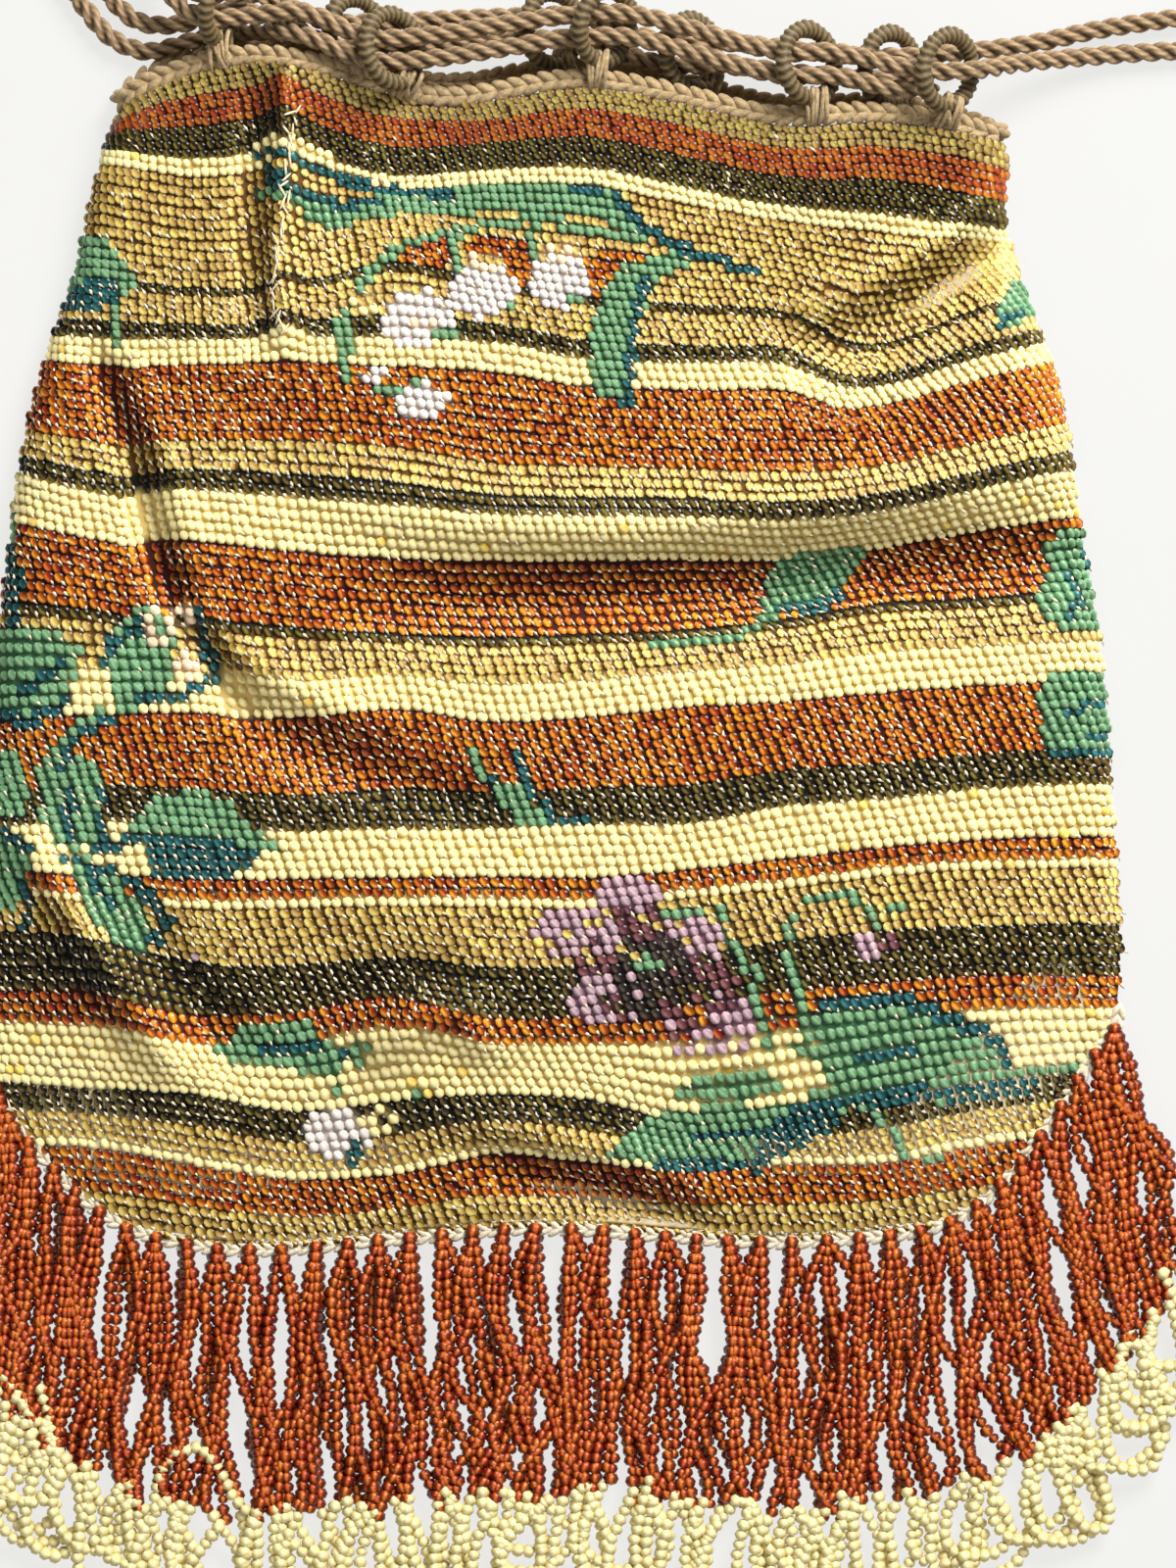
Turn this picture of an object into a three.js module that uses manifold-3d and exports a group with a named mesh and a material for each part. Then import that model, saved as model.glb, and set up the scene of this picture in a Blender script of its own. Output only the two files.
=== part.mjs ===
// Beaded drawstring purse lying on its back: a hollow bag of bead-knitted cloth, a crocheted mouth edge,
// thread-covered rings, two drawstrings that run through them and a fringe of bead loops.
// Millimetres. +Z is up, the mouth looks towards +Y and the back of the bag lies on Z = 0.
import * as THREE from "three";
import { mergeVertices } from "three/addons/utils/BufferGeometryUtils.js";
import Module from "manifold-3d";

// Sizes of the cloth
const WALL = 2; // knitted thread and the bead on it
const SEAM_HEIGHT = 3; // height at which the front and back walls meet
const MARGIN = 5.5; // from the bag's outline to the hollow inside it
const TURN = 0.034; // share of the width or length in which the cloth turns over at its edge
const SIDE_SHARE = 0.7; // height beside the folded sides, as a share of the crown
const BACK_RISE = 1.5; // how far the back of the mouth stands past the front in the middle

// Sizes of the trim
const GAP = 0.3;
const EDGING_RADIUS = 1.1;
const RING_RADIUS = 5.5;
const RING_WIRE = 1.25;
const CORD_RADIUS = 1.5;
const CORD_SPACING = 3.7; // between the two cords inside one ring
const HEAD_RADIUS = 0.9; // crocheted thread that carries the fringe
const TRIM_GAP = 0.5; // from the mouth's rim to the crocheted edge on it
const HEAD_GAP = 0.75; // from the bottom line to the crocheted thread along it

// Sizes of the fringe
const LOCK_COUNT = 38;
const LOCK_LENGTH = 57;
const LOCK_HALF_WIDTH = 2;
const LOCK_HALF_HEIGHT = 1;
const LOCK_UNEVEN = 2; // how much longer or shorter a single lock is
const LEFT_SPREAD = 0.06; // how far the locks at each end turn from straight down to straight outwards
const RIGHT_SPREAD = 0.26;

// Stations along a lock: share of its length, how far it wanders aside there, and the phase from lock to lock
const LOCK_STATIONS = [
  { reach: 0, wander: 0, phase: 0 },
  { reach: 0.16, wander: 0.5, phase: 2.4 },
  { reach: 0.55, wander: 1.2, phase: 1.7 },
  { reach: 1, wander: 1.6, phase: 2.9 },
];

// Sides of the bag: share of the way from the bottom corner to the mouth, and the X of each side there
const SIDES = [
  { t: 0, left: -86.6, right: 91.3 },
  { t: 0.06, left: -90, right: 92.5 },
  { t: 0.15, left: -91.7, right: 92.2 },
  { t: 0.3, left: -91, right: 91.1 },
  { t: 0.45, left: -88.5, right: 89.4 },
  { t: 0.55, left: -86.4, right: 86.9 },
  { t: 0.65, left: -84.4, right: 85 },
  { t: 0.75, left: -80.7, right: 82.4 },
  { t: 0.85, left: -75, right: 76.9 },
  { t: 0.93, left: -72.9, right: 73.8 },
  { t: 1, left: -69.7, right: 75 },
];

// Mouth line: share of the width from the left, and its Y there
const MOUTH = [
  { u: 0, y: 87.7 },
  { u: 0.06, y: 92.7 },
  { u: 0.14, y: 95.8 },
  { u: 0.21, y: 95.2 },
  { u: 0.29, y: 92 },
  { u: 0.35, y: 89.2 },
  { u: 0.4, y: 89.2 },
  { u: 0.49, y: 91.7 },
  { u: 0.54, y: 92 },
  { u: 0.64, y: 89.2 },
  { u: 0.75, y: 85.6 },
  { u: 0.8, y: 86.6 },
  { u: 0.86, y: 86.6 },
  { u: 0.93, y: 85.3 },
  { u: 1, y: 81.9 },
];

// Bottom line with its rounded corners: share of the width from the left, and its Y there
const BOTTOM = [
  { u: 0, y: -70.2 },
  { u: 0.01, y: -73.3 },
  { u: 0.035, y: -78.3 },
  { u: 0.083, y: -87.4 },
  { u: 0.15, y: -91.7 },
  { u: 0.22, y: -93.3 },
  { u: 0.35, y: -91.5 },
  { u: 0.48, y: -89.6 },
  { u: 0.6, y: -91 },
  { u: 0.7, y: -92 },
  { u: 0.79, y: -90.9 },
  { u: 0.833, y: -90 },
  { u: 0.877, y: -86.9 },
  { u: 0.912, y: -80.5 },
  { u: 0.943, y: -73.3 },
  { u: 0.974, y: -64 },
  { u: 1, y: -57.7 },
];

// Height of the front wall along the middle of the bag: share of the way to the mouth, and its Z
const CROWN = [
  { t: 0, z: 8.5 },
  { t: 0.12, z: 10.2 },
  { t: 0.35, z: 11.5 },
  { t: 0.6, z: 11.2 },
  { t: 0.85, z: 11.4 },
  { t: 1, z: 11.6 },
];

// Ridges (height over zero) and dents (under zero) of the front wall: each runs along a line and fades with its width
const FOLDS = [
  { fromX: -41.3, fromY: 97, toX: -41.3, toY: 53, width: 8, height: 2.2 },
  { fromX: -19.5, fromY: 92, toX: -16.4, toY: 73.3, width: 12, height: -1.8 },
  { fromX: -66.6, fromY: 43.7, toX: -61.6, toY: 6.2, width: 6, height: -1.8 },
  { fromX: -57.7, fromY: 43.7, toX: -51.5, toY: 4.7, width: 9, height: 1.6 },
  { fromX: -57, fromY: 4.7, toX: -46, toY: -3.1, width: 7, height: -1.3 },
  { fromX: 44.5, fromY: 78, toX: 71, toY: 80.3, width: 10, height: 1.8 },
  { fromX: 36.7, fromY: 51.5, toX: 74, toY: 72.5, width: 11, height: -2.6 },
  { fromX: 22.6, fromY: 17.9, toX: 53.8, toY: 16.4, width: 11, height: -1.4 },
  { fromX: -68.6, fromY: -40.6, toX: -60.8, toY: -78, width: 10, height: 2 },
  { fromX: -32.8, fromY: -50, toX: -36.7, toY: -79.6, width: 12, height: -1.8 },
  { fromX: -19.5, fromY: -46.8, toX: -17.9, toY: -65.5, width: 13, height: 2 },
  { fromX: -47.6, fromY: -85.8, toX: 61.6, toY: -84.2, width: 9, height: 1.4 },
];

// Rings sewn along the mouth: X and Z of the centre, and the axis turned up from +X (lean) and round Z (yaw)
const RINGS = [
  { name: "ring_left", x: -51, z: 10.2, lean: 25, yaw: -12 },
  { name: "ring_front_1", x: -24, z: 12, lean: 47, yaw: 10 },
  { name: "ring_front_2", x: 9.7, z: 11.8, lean: 44, yaw: -16 },
  { name: "ring_front_3", x: 42, z: 11.8, lean: 47, yaw: 8 },
  { name: "ring_right", x: 64, z: 11.8, lean: 45, yaw: -8 },
  { name: "ring_back_1", x: -30, z: 5.05, lean: 47, yaw: 8 },
  { name: "ring_back_2", x: 1.2, z: 5.05, lean: 47, yaw: -6 },
  { name: "ring_back_3", x: 23.4, z: 5.05, lean: 47, yaw: 6 },
  { name: "ring_back_4", x: 55, z: 5.05, lean: 47, yaw: -6 },
];

// Helpers

// Smooth value of one column of a table at a position in its key column
function valueAt(table, key, column, at) {
  let i = 0;
  while (i < table.length - 2 && at > table[i + 1][key]) i++;
  const slope = (k) => {
    const before = table[Math.max(k - 1, 0)];
    const after = table[Math.min(k + 1, table.length - 1)];
    return (after[column] - before[column]) / (after[key] - before[key]);
  };
  const span = table[i + 1][key] - table[i][key];
  const f = (at - table[i][key]) / span;
  const rise = f * f * (3 - 2 * f);
  const start = f * (1 - f) * (1 - f) * span * slope(i);
  const end = f * f * (f - 1) * span * slope(i + 1);
  return table[i][column] * (1 - rise) + table[i + 1][column] * rise + start + end;
}

function evenly(from, to, cells) {
  return Array.from({ length: cells + 1 }, (_, i) => from + ((to - from) * i) / cells);
}

// Closed surface through rings of points. Rings that shrink to a line or a point close its ends.
function loft(rings) {
  const around = rings[0].length;
  const positions = rings.flat().flatMap((p) => [p.x, p.y, p.z]);
  const faces = [];
  for (let k = 0; k < rings.length - 1; k++) {
    for (let i = 0; i < around; i++) {
      const a = k * around + i;
      const b = k * around + ((i + 1) % around);
      faces.push(a, b, b + around, a, b + around, a + around);
    }
  }
  const geometry = new THREE.BufferGeometry();
  geometry.setAttribute("position", new THREE.Float32BufferAttribute(positions, 3));
  geometry.setIndex(faces);
  return withoutFlatFaces(mergeVertices(geometry, 1e-3));
}

// Drops the triangles that lost a corner when points were merged
function withoutFlatFaces(geometry) {
  const old = geometry.index.array;
  const kept = [];
  for (let i = 0; i < old.length; i += 3) {
    const [a, b, c] = [old[i], old[i + 1], old[i + 2]];
    if (a !== b && b !== c && c !== a) kept.push(a, b, c);
  }
  geometry.setIndex(kept);
  return geometry;
}

// Flat strand along points that lie roughly level, with closed ends
function strand(points, halfWidth, halfHeight, sides) {
  const up = new THREE.Vector3(0, 0, 1);
  const rings = points.map((point, i) => {
    const before = points[Math.max(i - 1, 0)];
    const after = points[Math.min(i + 1, points.length - 1)];
    const side = after.clone().sub(before).cross(up).normalize();
    return Array.from({ length: sides }, (_, k) => {
      const angle = Math.PI - (2 * Math.PI * (k + 0.5)) / sides;
      return point
        .clone()
        .addScaledVector(side, halfWidth * Math.cos(angle))
        .addScaledVector(up, halfHeight * Math.sin(angle));
    });
  });
  const closed = (point) => Array.from({ length: sides }, () => point.clone());
  return loft([closed(points[0]), ...rings, closed(points[points.length - 1])]);
}

const wasm = await Module();
wasm.setup();

function solidOf(geometry) {
  return new wasm.Manifold(
    new wasm.Mesh({
      numProp: 3,
      vertProperties: new Float32Array(geometry.attributes.position.array),
      triVerts: new Uint32Array(geometry.index.array),
    }),
  );
}

function joined(geometries) {
  const mesh = geometries
    .map(solidOf)
    .reduce((all, next) => all.add(next))
    .getMesh();
  const geometry = new THREE.BufferGeometry();
  geometry.setAttribute("position", new THREE.BufferAttribute(mesh.vertProperties, 3));
  geometry.setIndex(new THREE.BufferAttribute(mesh.triVerts, 1));
  return geometry;
}

function cloth(color) {
  return new THREE.MeshStandardMaterial({ color, roughness: 0.9, metalness: 0 });
}

function beads(color) {
  return new THREE.MeshStandardMaterial({ color, roughness: 0.35, metalness: 0 });
}

function piece(name, geometry, material) {
  const mesh = new THREE.Mesh(geometry, material);
  mesh.name = name;
  return mesh;
}

// Bag

// Roundness of an edge: 0 on the edge itself, 1 where the cloth has turned over
function turned(distance) {
  const f = Math.min(distance / TURN, 1);
  return Math.sqrt(1 - (1 - f) * (1 - f));
}

function fromSide(u) {
  return Math.min(u, 1 - u);
}

function foldHeight(x, y) {
  let total = 0;
  for (const fold of FOLDS) {
    const alongX = fold.toX - fold.fromX;
    const alongY = fold.toY - fold.fromY;
    const share = ((x - fold.fromX) * alongX + (y - fold.fromY) * alongY) / (alongX ** 2 + alongY ** 2);
    const nearest = THREE.MathUtils.clamp(share, 0, 1);
    const away = Math.hypot(x - fold.fromX - nearest * alongX, y - fold.fromY - nearest * alongY);
    total += fold.height * Math.exp(-((away / fold.width) ** 2));
  }
  return total;
}

// Plan position of the cloth at a share u of the width and t of the length
function planPoint(u, t, onBack) {
  const left = valueAt(SIDES, "t", "left", t);
  const right = valueAt(SIDES, "t", "right", t);
  const bottom = valueAt(BOTTOM, "u", "y", u);
  const mouth = valueAt(MOUTH, "u", "y", u);
  const rise = onBack ? BACK_RISE * 4 * u * (1 - u) * Math.max(0, 2 * t - 1) : 0;
  return new THREE.Vector3(left + (right - left) * u, bottom + (mouth - bottom) * t + rise, 0);
}

// Outer heights of the front and the back at the same place
function outerHeights(u, t) {
  const place = planPoint(u, t, false);
  const crown = valueAt(CROWN, "t", "z", t) * (SIDE_SHARE + (1 - SIDE_SHARE) * 4 * u * (1 - u));
  const round = turned(fromSide(u)) * turned(t);
  const front = SEAM_HEIGHT + (crown + foldHeight(place.x, place.y) - SEAM_HEIGHT) * round;
  return { front, back: SEAM_HEIGHT * (1 - round) };
}

function outerPoint(u, t, onBack) {
  const heights = outerHeights(u, t);
  return planPoint(u, t, onBack).setZ(onBack ? heights.back : heights.front);
}

// The hollow follows the outer form, a margin in from the outline and a wall in from each face
function innerPoint(u, t, onBack) {
  const width = valueAt(SIDES, "t", "right", t) - valueAt(SIDES, "t", "left", t);
  const length = valueAt(MOUTH, "u", "y", u) - valueAt(BOTTOM, "u", "y", u);
  const inU = MARGIN / width + u * (1 - (2 * MARGIN) / width);
  const inT = MARGIN / length + t * (1 - MARGIN / length);
  const heights = outerHeights(inU, inT);
  const middle = (heights.front + heights.back) / 2;
  const half = ((heights.front - heights.back) / 2 - WALL) * turned(fromSide(u)) * turned(t);
  return planPoint(inU, inT, onBack).setZ(onBack ? middle - half : middle + half);
}

const ACROSS = [0, TURN * 0.3, ...evenly(TURN, 1 - TURN, 24), 1 - TURN * 0.3, 1];
const BACK_ACROSS = ACROSS.slice(1, -1).reverse();

// One level ring round the bag: over the front from left to right, then back along the underside
function ringAt(pointAt, t) {
  return [
    ...ACROSS.map((u) => pointAt(u, t, false)),
    ...BACK_ACROSS.map((u) => pointAt(u, t, true)),
  ];
}

const outerRings = [0, TURN * 0.3, ...evenly(TURN, 1, 20)].map((t) => ringAt(outerPoint, t));
const innerRings = [1, ...evenly(1, TURN, 15).slice(1), 0].map((t) => ringAt(innerPoint, t));
const bag = piece("bag", loft([...outerRings, ...innerRings]), beads("#a9844c"));

// Crocheted edge round the mouth
const rimOut = outerRings[outerRings.length - 1];
const rimIn = innerRings[0];
const edgingPoints = rimOut.map((point, i) => {
  const middle = point.clone().add(rimIn[i]).multiplyScalar(0.5);
  middle.y += EDGING_RADIUS + TRIM_GAP;
  middle.z = Math.max(middle.z, EDGING_RADIUS);
  return middle;
});
const edgingPath = new THREE.CatmullRomCurve3(edgingPoints, true);
const edging = piece(
  "mouth_edging",
  new THREE.TubeGeometry(edgingPath, 56, EDGING_RADIUS, 6, true),
  cloth("#b09a78"),
);

// Rings along the mouth

const edgingTrack = edgingPath.getPoints(400);

function ringAxis(row) {
  const lean = THREE.MathUtils.degToRad(row.lean);
  const yaw = THREE.MathUtils.degToRad(row.yaw);
  return new THREE.Vector3(Math.cos(lean) * Math.cos(yaw), Math.cos(lean) * Math.sin(yaw), Math.sin(lean));
}

// Y at which the ring's wire stands a gap off the crocheted edge
function seatedY(row, turn) {
  const circle = evenly(0, 2 * Math.PI, 60).map((angle) =>
    new THREE.Vector3(RING_RADIUS * Math.cos(angle), RING_RADIUS * Math.sin(angle), 0)
      .applyQuaternion(turn)
      .add(new THREE.Vector3(row.x, 0, row.z)),
  );
  const needed = RING_WIRE + EDGING_RADIUS + GAP;
  let y = 0;
  for (const track of edgingTrack) {
    for (const wire of circle) {
      const across = Math.hypot(track.x - wire.x, track.z - wire.z);
      if (across < needed) y = Math.max(y, track.y - wire.y + Math.sqrt(needed ** 2 - across ** 2));
    }
  }
  return y;
}

const centres = {};
const rings = RINGS.map((row) => {
  const turn = new THREE.Quaternion().setFromUnitVectors(new THREE.Vector3(0, 0, 1), ringAxis(row));
  const ring = piece(row.name, new THREE.TorusGeometry(RING_RADIUS, RING_WIRE, 6, 14), cloth("#7d6e50"));
  ring.quaternion.copy(turn);
  ring.position.set(row.x, seatedY(row, turn), row.z);
  centres[row.name] = ring.position;
  return ring;
});

// Drawstrings

// A closed route with equal steps between its points, so that a tight bend gets short steps
class Route extends THREE.CatmullRomCurve3 {
  getPointAt(share, target) {
    return this.getPoint(share, target);
  }
  getTangentAt(share, target) {
    return this.getTangent(share, target);
  }
}

const HALF = CORD_SPACING / 2;
const LIE = CORD_RADIUS + 0.05; // height of a cord that lies on the surface
const REACH = 4; // straight stretch of cord before and after a ring's centre

function at(x, y, z) {
  return new THREE.Vector3(x, y, z);
}

// Straight stretch through a ring, moved off its centre along Y. A heading of 1 runs towards +X, -1 towards -X.
function through(name, offset, heading) {
  const { x, y, z } = centres[name];
  return [at(x - heading * REACH, y + offset, z), at(x + heading * REACH, y + offset, z)];
}

// The right cord: its pull loop lies at the right, and its turn at the left stands out as a slack loop
const rightRoute = [
  at(76, 96, 6.4),
  ...through("ring_right", 0, -1),
  ...through("ring_front_3", HALF, -1),
  ...through("ring_front_2", HALF, -1),
  ...through("ring_front_1", HALF, -1),
  at(-38.5, 103.8, 11.9),
  ...through("ring_left", -HALF, -1),
  at(-62.3, 110.6, 4.6),
  at(-67, 116.5, 1.9),
  at(-70.5, 123, LIE),
  at(-66.5, 127, LIE),
  at(-62.2, 123, LIE),
  at(-60.4, 116.5, 2.4),
  ...through("ring_left", HALF, 1),
  ...through("ring_back_1", HALF, 1),
  ...through("ring_back_2", HALF, 1),
  ...through("ring_back_3", HALF, 1),
  ...through("ring_back_4", HALF, 1),
  at(67.5, 98, 3.3),
  at(78.8, 99.6, 2),
  at(88, 101.6, LIE),
  at(100.6, 103.5, LIE),
  at(112, 105, LIE),
  at(122, 105.6, LIE),
  at(127, 102, LIE),
  at(122, 98.4, LIE),
  at(112, 98.6, LIE),
  at(100.6, 98.3, LIE),
  at(88, 97.4, 2.4),
];

// The left cord: its pull loop lies at the left, and it turns back inside the right end of the mouth
const leftRoute = [
  ...through("ring_front_1", -HALF, 1),
  ...through("ring_front_2", -HALF, 1),
  ...through("ring_front_3", -HALF, 1),
  at(56, 91.6, 10.6),
  at(61.4, 92, 8),
  ...through("ring_back_4", -HALF, -1),
  ...through("ring_back_3", -HALF, -1),
  ...through("ring_back_2", -HALF, -1),
  ...through("ring_back_1", -HALF, -1),
  at(-43, 103.6, 2.4),
  at(-51, 104.8, LIE),
  at(-58, 102.6, LIE),
  at(-64.7, 103, LIE),
  at(-69.6, 107.4, LIE),
  at(-73.2, 115, LIE),
  at(-77.5, 123, LIE),
  at(-81.5, 130, LIE),
  at(-87, 133, LIE),
  at(-89.6, 127.6, LIE),
  at(-85, 120.6, LIE),
  at(-78.6, 113.4, LIE),
  at(-73.6, 105.6, LIE),
  at(-68.8, 100.2, LIE),
  at(-63.2, 98.2, LIE),
  at(-57, 99.6, LIE),
  at(-50.6, 101.2, LIE),
  at(-46, 101.2, 4.4),
  at(-38.5, 100.2, 12),
];

function drawstring(name, route) {
  const path = new Route(route, true);
  return piece(name, new THREE.TubeGeometry(path, route.length, CORD_RADIUS, 8, true), cloth("#8c7358"));
}

const cords = [drawstring("drawstring_right", rightRoute), drawstring("drawstring_left", leftRoute)];

// Fringe: the crocheted thread along the bottom and one lock of bead loops at each stitch of it

const bottomEdge = new THREE.CatmullRomCurve3(ACROSS.map((u) => outerPoint(u, 0, false)));

// Direction away from the bag at a share of the bottom edge
function outward(share) {
  const tangent = bottomEdge.getTangentAt(share);
  return new THREE.Vector3(tangent.y, -tangent.x, 0).normalize();
}

const headPoints = evenly(0.004, 0.996, 36).map((share) =>
  bottomEdge.getPointAt(share).addScaledVector(outward(share), HEAD_RADIUS + HEAD_GAP),
);

function lockAt(index) {
  const share = (index + 0.5) / LOCK_COUNT;
  const start = bottomEdge.getPointAt(share).addScaledVector(outward(share), HEAD_RADIUS + HEAD_GAP);
  const spread = LEFT_SPREAD + (RIGHT_SPREAD - LEFT_SPREAD) * share;
  const away = new THREE.Vector3(0, -1, 0).lerp(outward(share), spread).normalize();
  const aside = new THREE.Vector3(-away.y, away.x, 0);
  const length = LOCK_LENGTH + LOCK_UNEVEN * Math.sin(index * 3.7);
  const points = LOCK_STATIONS.map(({ reach, wander, phase }) =>
    start
      .clone()
      .addScaledVector(away, reach * length)
      .addScaledVector(aside, wander * Math.sin(index * phase))
      .setZ(reach === 0 ? SEAM_HEIGHT : LOCK_HALF_HEIGHT + 0.1),
  );
  return strand(points, LOCK_HALF_WIDTH, LOCK_HALF_HEIGHT, 6);
}

const locks = Array.from({ length: LOCK_COUNT }, (_, index) => lockAt(index));
const head = strand(headPoints, HEAD_RADIUS, HEAD_RADIUS, 6);
const fringe = piece("fringe", joined([head, ...locks]), beads("#96401e"));

// Assembly: the origin is under the middle of the purse, measured without its cords

const layout = new THREE.Group();
layout.add(bag, edging, fringe, ...rings, ...cords);

const outline = new THREE.Box3();
for (const solid of [bag, edging, fringe, ...rings]) {
  solid.updateMatrixWorld(true);
  outline.expandByObject(solid, true);
}
const middle = outline.getCenter(new THREE.Vector3());
layout.position.set(-middle.x, -middle.y, -outline.min.z);

const purse = new THREE.Group();
purse.name = "purse";
purse.add(layout);

export default purse;
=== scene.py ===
"""Beaded drawstring purse: bead-knitted cloth, crocheted edges, covered rings, cords and a bead fringe."""

import math
from collections import namedtuple

import bmesh
import bpy
import numpy as np
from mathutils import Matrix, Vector
from mathutils.bvhtree import BVHTree


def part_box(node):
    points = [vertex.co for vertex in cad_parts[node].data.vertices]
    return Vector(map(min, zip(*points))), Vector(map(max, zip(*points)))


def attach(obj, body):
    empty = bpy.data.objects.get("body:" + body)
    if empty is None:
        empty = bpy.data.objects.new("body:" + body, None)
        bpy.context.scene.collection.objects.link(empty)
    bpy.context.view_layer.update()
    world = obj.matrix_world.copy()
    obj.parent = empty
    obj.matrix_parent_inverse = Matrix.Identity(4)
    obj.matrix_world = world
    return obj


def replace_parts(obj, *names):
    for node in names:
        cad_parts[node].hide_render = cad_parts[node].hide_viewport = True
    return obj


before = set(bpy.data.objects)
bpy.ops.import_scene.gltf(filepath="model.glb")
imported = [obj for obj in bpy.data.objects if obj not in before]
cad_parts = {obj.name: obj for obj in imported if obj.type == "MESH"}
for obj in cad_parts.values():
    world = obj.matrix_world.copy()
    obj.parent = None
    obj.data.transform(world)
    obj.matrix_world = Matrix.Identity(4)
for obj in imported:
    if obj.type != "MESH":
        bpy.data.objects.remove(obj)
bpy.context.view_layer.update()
rng = np.random.default_rng(11)

# Scale and place
MM = 0.001
PIXEL = 0.156 * MM  # one photo pixel on the purse
PHOTO_PX = (1200, 1600)
LAYOUT_ZERO_PX = (555, 680)  # photo pixel of the zero of the purse's layout
LAYOUT_BAG_LOW = (-91.754, -93.28)  # lowest corner of the bag in that layout, mm
CAMERA_HEIGHT = 1600  # mm
FACE_HEIGHT = 6  # mean height of the purse's face, mm
ABOVE = 50  # distances from which the bag is met: over its faces, beside its sides and beyond its ends, mm
BESIDE = 200
OUTSIDE = 300

# Sizes of the bag, mm
SEAM_HEIGHT = 3  # where the front and back of the bag meet
SLACK_HEIGHT = 4  # height over the seam at which the cloth folds freely
WALL = 2
SHELL_INSET = 1.55  # from the face of the cloth to the shell behind the beads
SHARP_ANGLE = math.radians(50)  # rims and seams that stay where they are when the rest is smoothed
TOP_CORNER_PX = 128  # photo heights at which the sides of the bag begin and end
LEFT_CORNER_PX = 1110
RIGHT_CORNER_PX = 1030

# Sizes of the knitting, mm
COLUMNS = 107  # beads across one face
SKEW = 0.3  # share of a column that each knitted row moves aside
BEAD_SPACING = 1.68  # mean of the spacing across and down where beads have their full size
BEAD_SIZE = np.array([1.9, 1.68, 1.62])  # along the thread, across it and out of the cloth
BEAD_SHARES = (0.84, 1.06)  # smallest and largest share of that size
SIDE_BEADS_PX = 40  # strip along a side edge of the bag, with beads of one size
SIDE_SHARE = 0.98
BEAD_INSET = 0.7  # from the face of the cloth to the middle of a bead
GROUND_INSET = 0.95
CLOTH_SHARE = 0.8  # how far the light on a bead follows the cloth, which a clear bead spreads it over
AXIS_DEGREES = -50  # direction of the thread through the beads on the front, seen from above
AXIS_SPREAD = 9  # how far single beads stray: in direction, in share of their size and in place
SIZE_SPREAD = 0.05
PLACE_SPREAD = 0.1
YELLOW_SHARE = 0.012  # share of the cream beads that are yellow

# Sizes of the thread that shows between the beads, mm
THREAD_COLOURS = ("gold", "rust", "dark", "teal")  # glass that lets the thread show
THREAD_SHOWS_PX = (120, 420)  # photo heights from few thread ends to many
THREAD_SHARE = 0.72  # share of the beads beside which thread shows, how far it varies, and on other glass
THREAD_VARIES = 0.28
THREAD_ELSEWHERE = 0.12
THREAD_WAVES = ((47, 1.3), (39, 0.7))  # photo pixels and phase of that change, across and down
THREAD_LENGTH = 1.9
THREAD_WIDTH = 0.62
THREAD_SHARES = (0.65, 1.05)  # smallest and largest share of that length and width
THREAD_AHEAD = 0.92  # from the middle of a bead to that of the thread, along the thread and out of the cloth
THREAD_LIFT = 0.42
THREAD_STRAY = 0.1  # how far single ends move along the thread, lean aside and dip into the cloth
THREAD_LEAN = 0.2
THREAD_DIP = 0.1
DARN_PX = [(302, 112), (296, 150), (291, 200), (284, 260), (281, 318), (292, 338)]
DARN_STEP_PX = 7
DARN_SPREAD_PX = 2
DARN_DEGREES = (-62, -100, -80, 35)  # directions of the stitches
DARN_TURN = 10  # how far single stitches stray from them
DARN_LENGTHS = (0.9, 1.6)
DARN_RADIUS = 0.21
DARN_LIFT = 0.2

# Sizes of the cords, mm
CORD_RADIUS = 1.6
CORD_PLIES = 3
CORD_TURN = 9  # length of one turn of the twist
CORD_STEP = 0.62  # between two rings of points
CORD_HALF = 1.85  # half of the spacing of two cords in one ring
CORD_REACH = 4  # straight stretch of cord before and after a ring's centre
CORD_LIE = 1.55  # height of a cord that lies on the surface
PLY_SIDES = 7  # points across one ply
GROOVE_SHARE = 0.55  # depth at which a groove between plies ends, as a share of the radius
YARN_STEP = 0.45  # from point to point round the cord, on the map of its yarns

# Sizes of the rings, mm
RING_RADIUS = 5.5
RING_WIRE = 1.38
RING_STITCHES = 30
RING_STEPS = 4  # rings of points in one stitch, and points round the wire
WIRE_SIDES = 12
RING_RIDGE = 0.6  # angle of the cover's ridge round the wire, from the outside towards the top
COVER_SLANT = 1.5  # how far a stitch trails away from the ridge, in phase for each radian
COVER_RELIEF = 0.13  # share of the wire's radius by which stitches stand out
SEWING_TURNS = 5  # turns of thread that hold one ring
SEWING_STEP = 0.72  # from turn to turn along the edge
SEWING_RADIUS = 0.4
SEWING_GRIP = 1.5  # how far the turns reach beyond the ring's wire and the edge
SEWING_HALF = 1.75  # half of a turn's thickness
SEWING_STRAY = 0.12  # how far single turns stray: along the edge, in their lean and in share of reach
SEWING_LEAN = 0.5
SEWING_VARIES = 0.06
SEWING_POINTS = 16  # along one turn, and round its thread
SEWING_SIDES = 5

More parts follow.
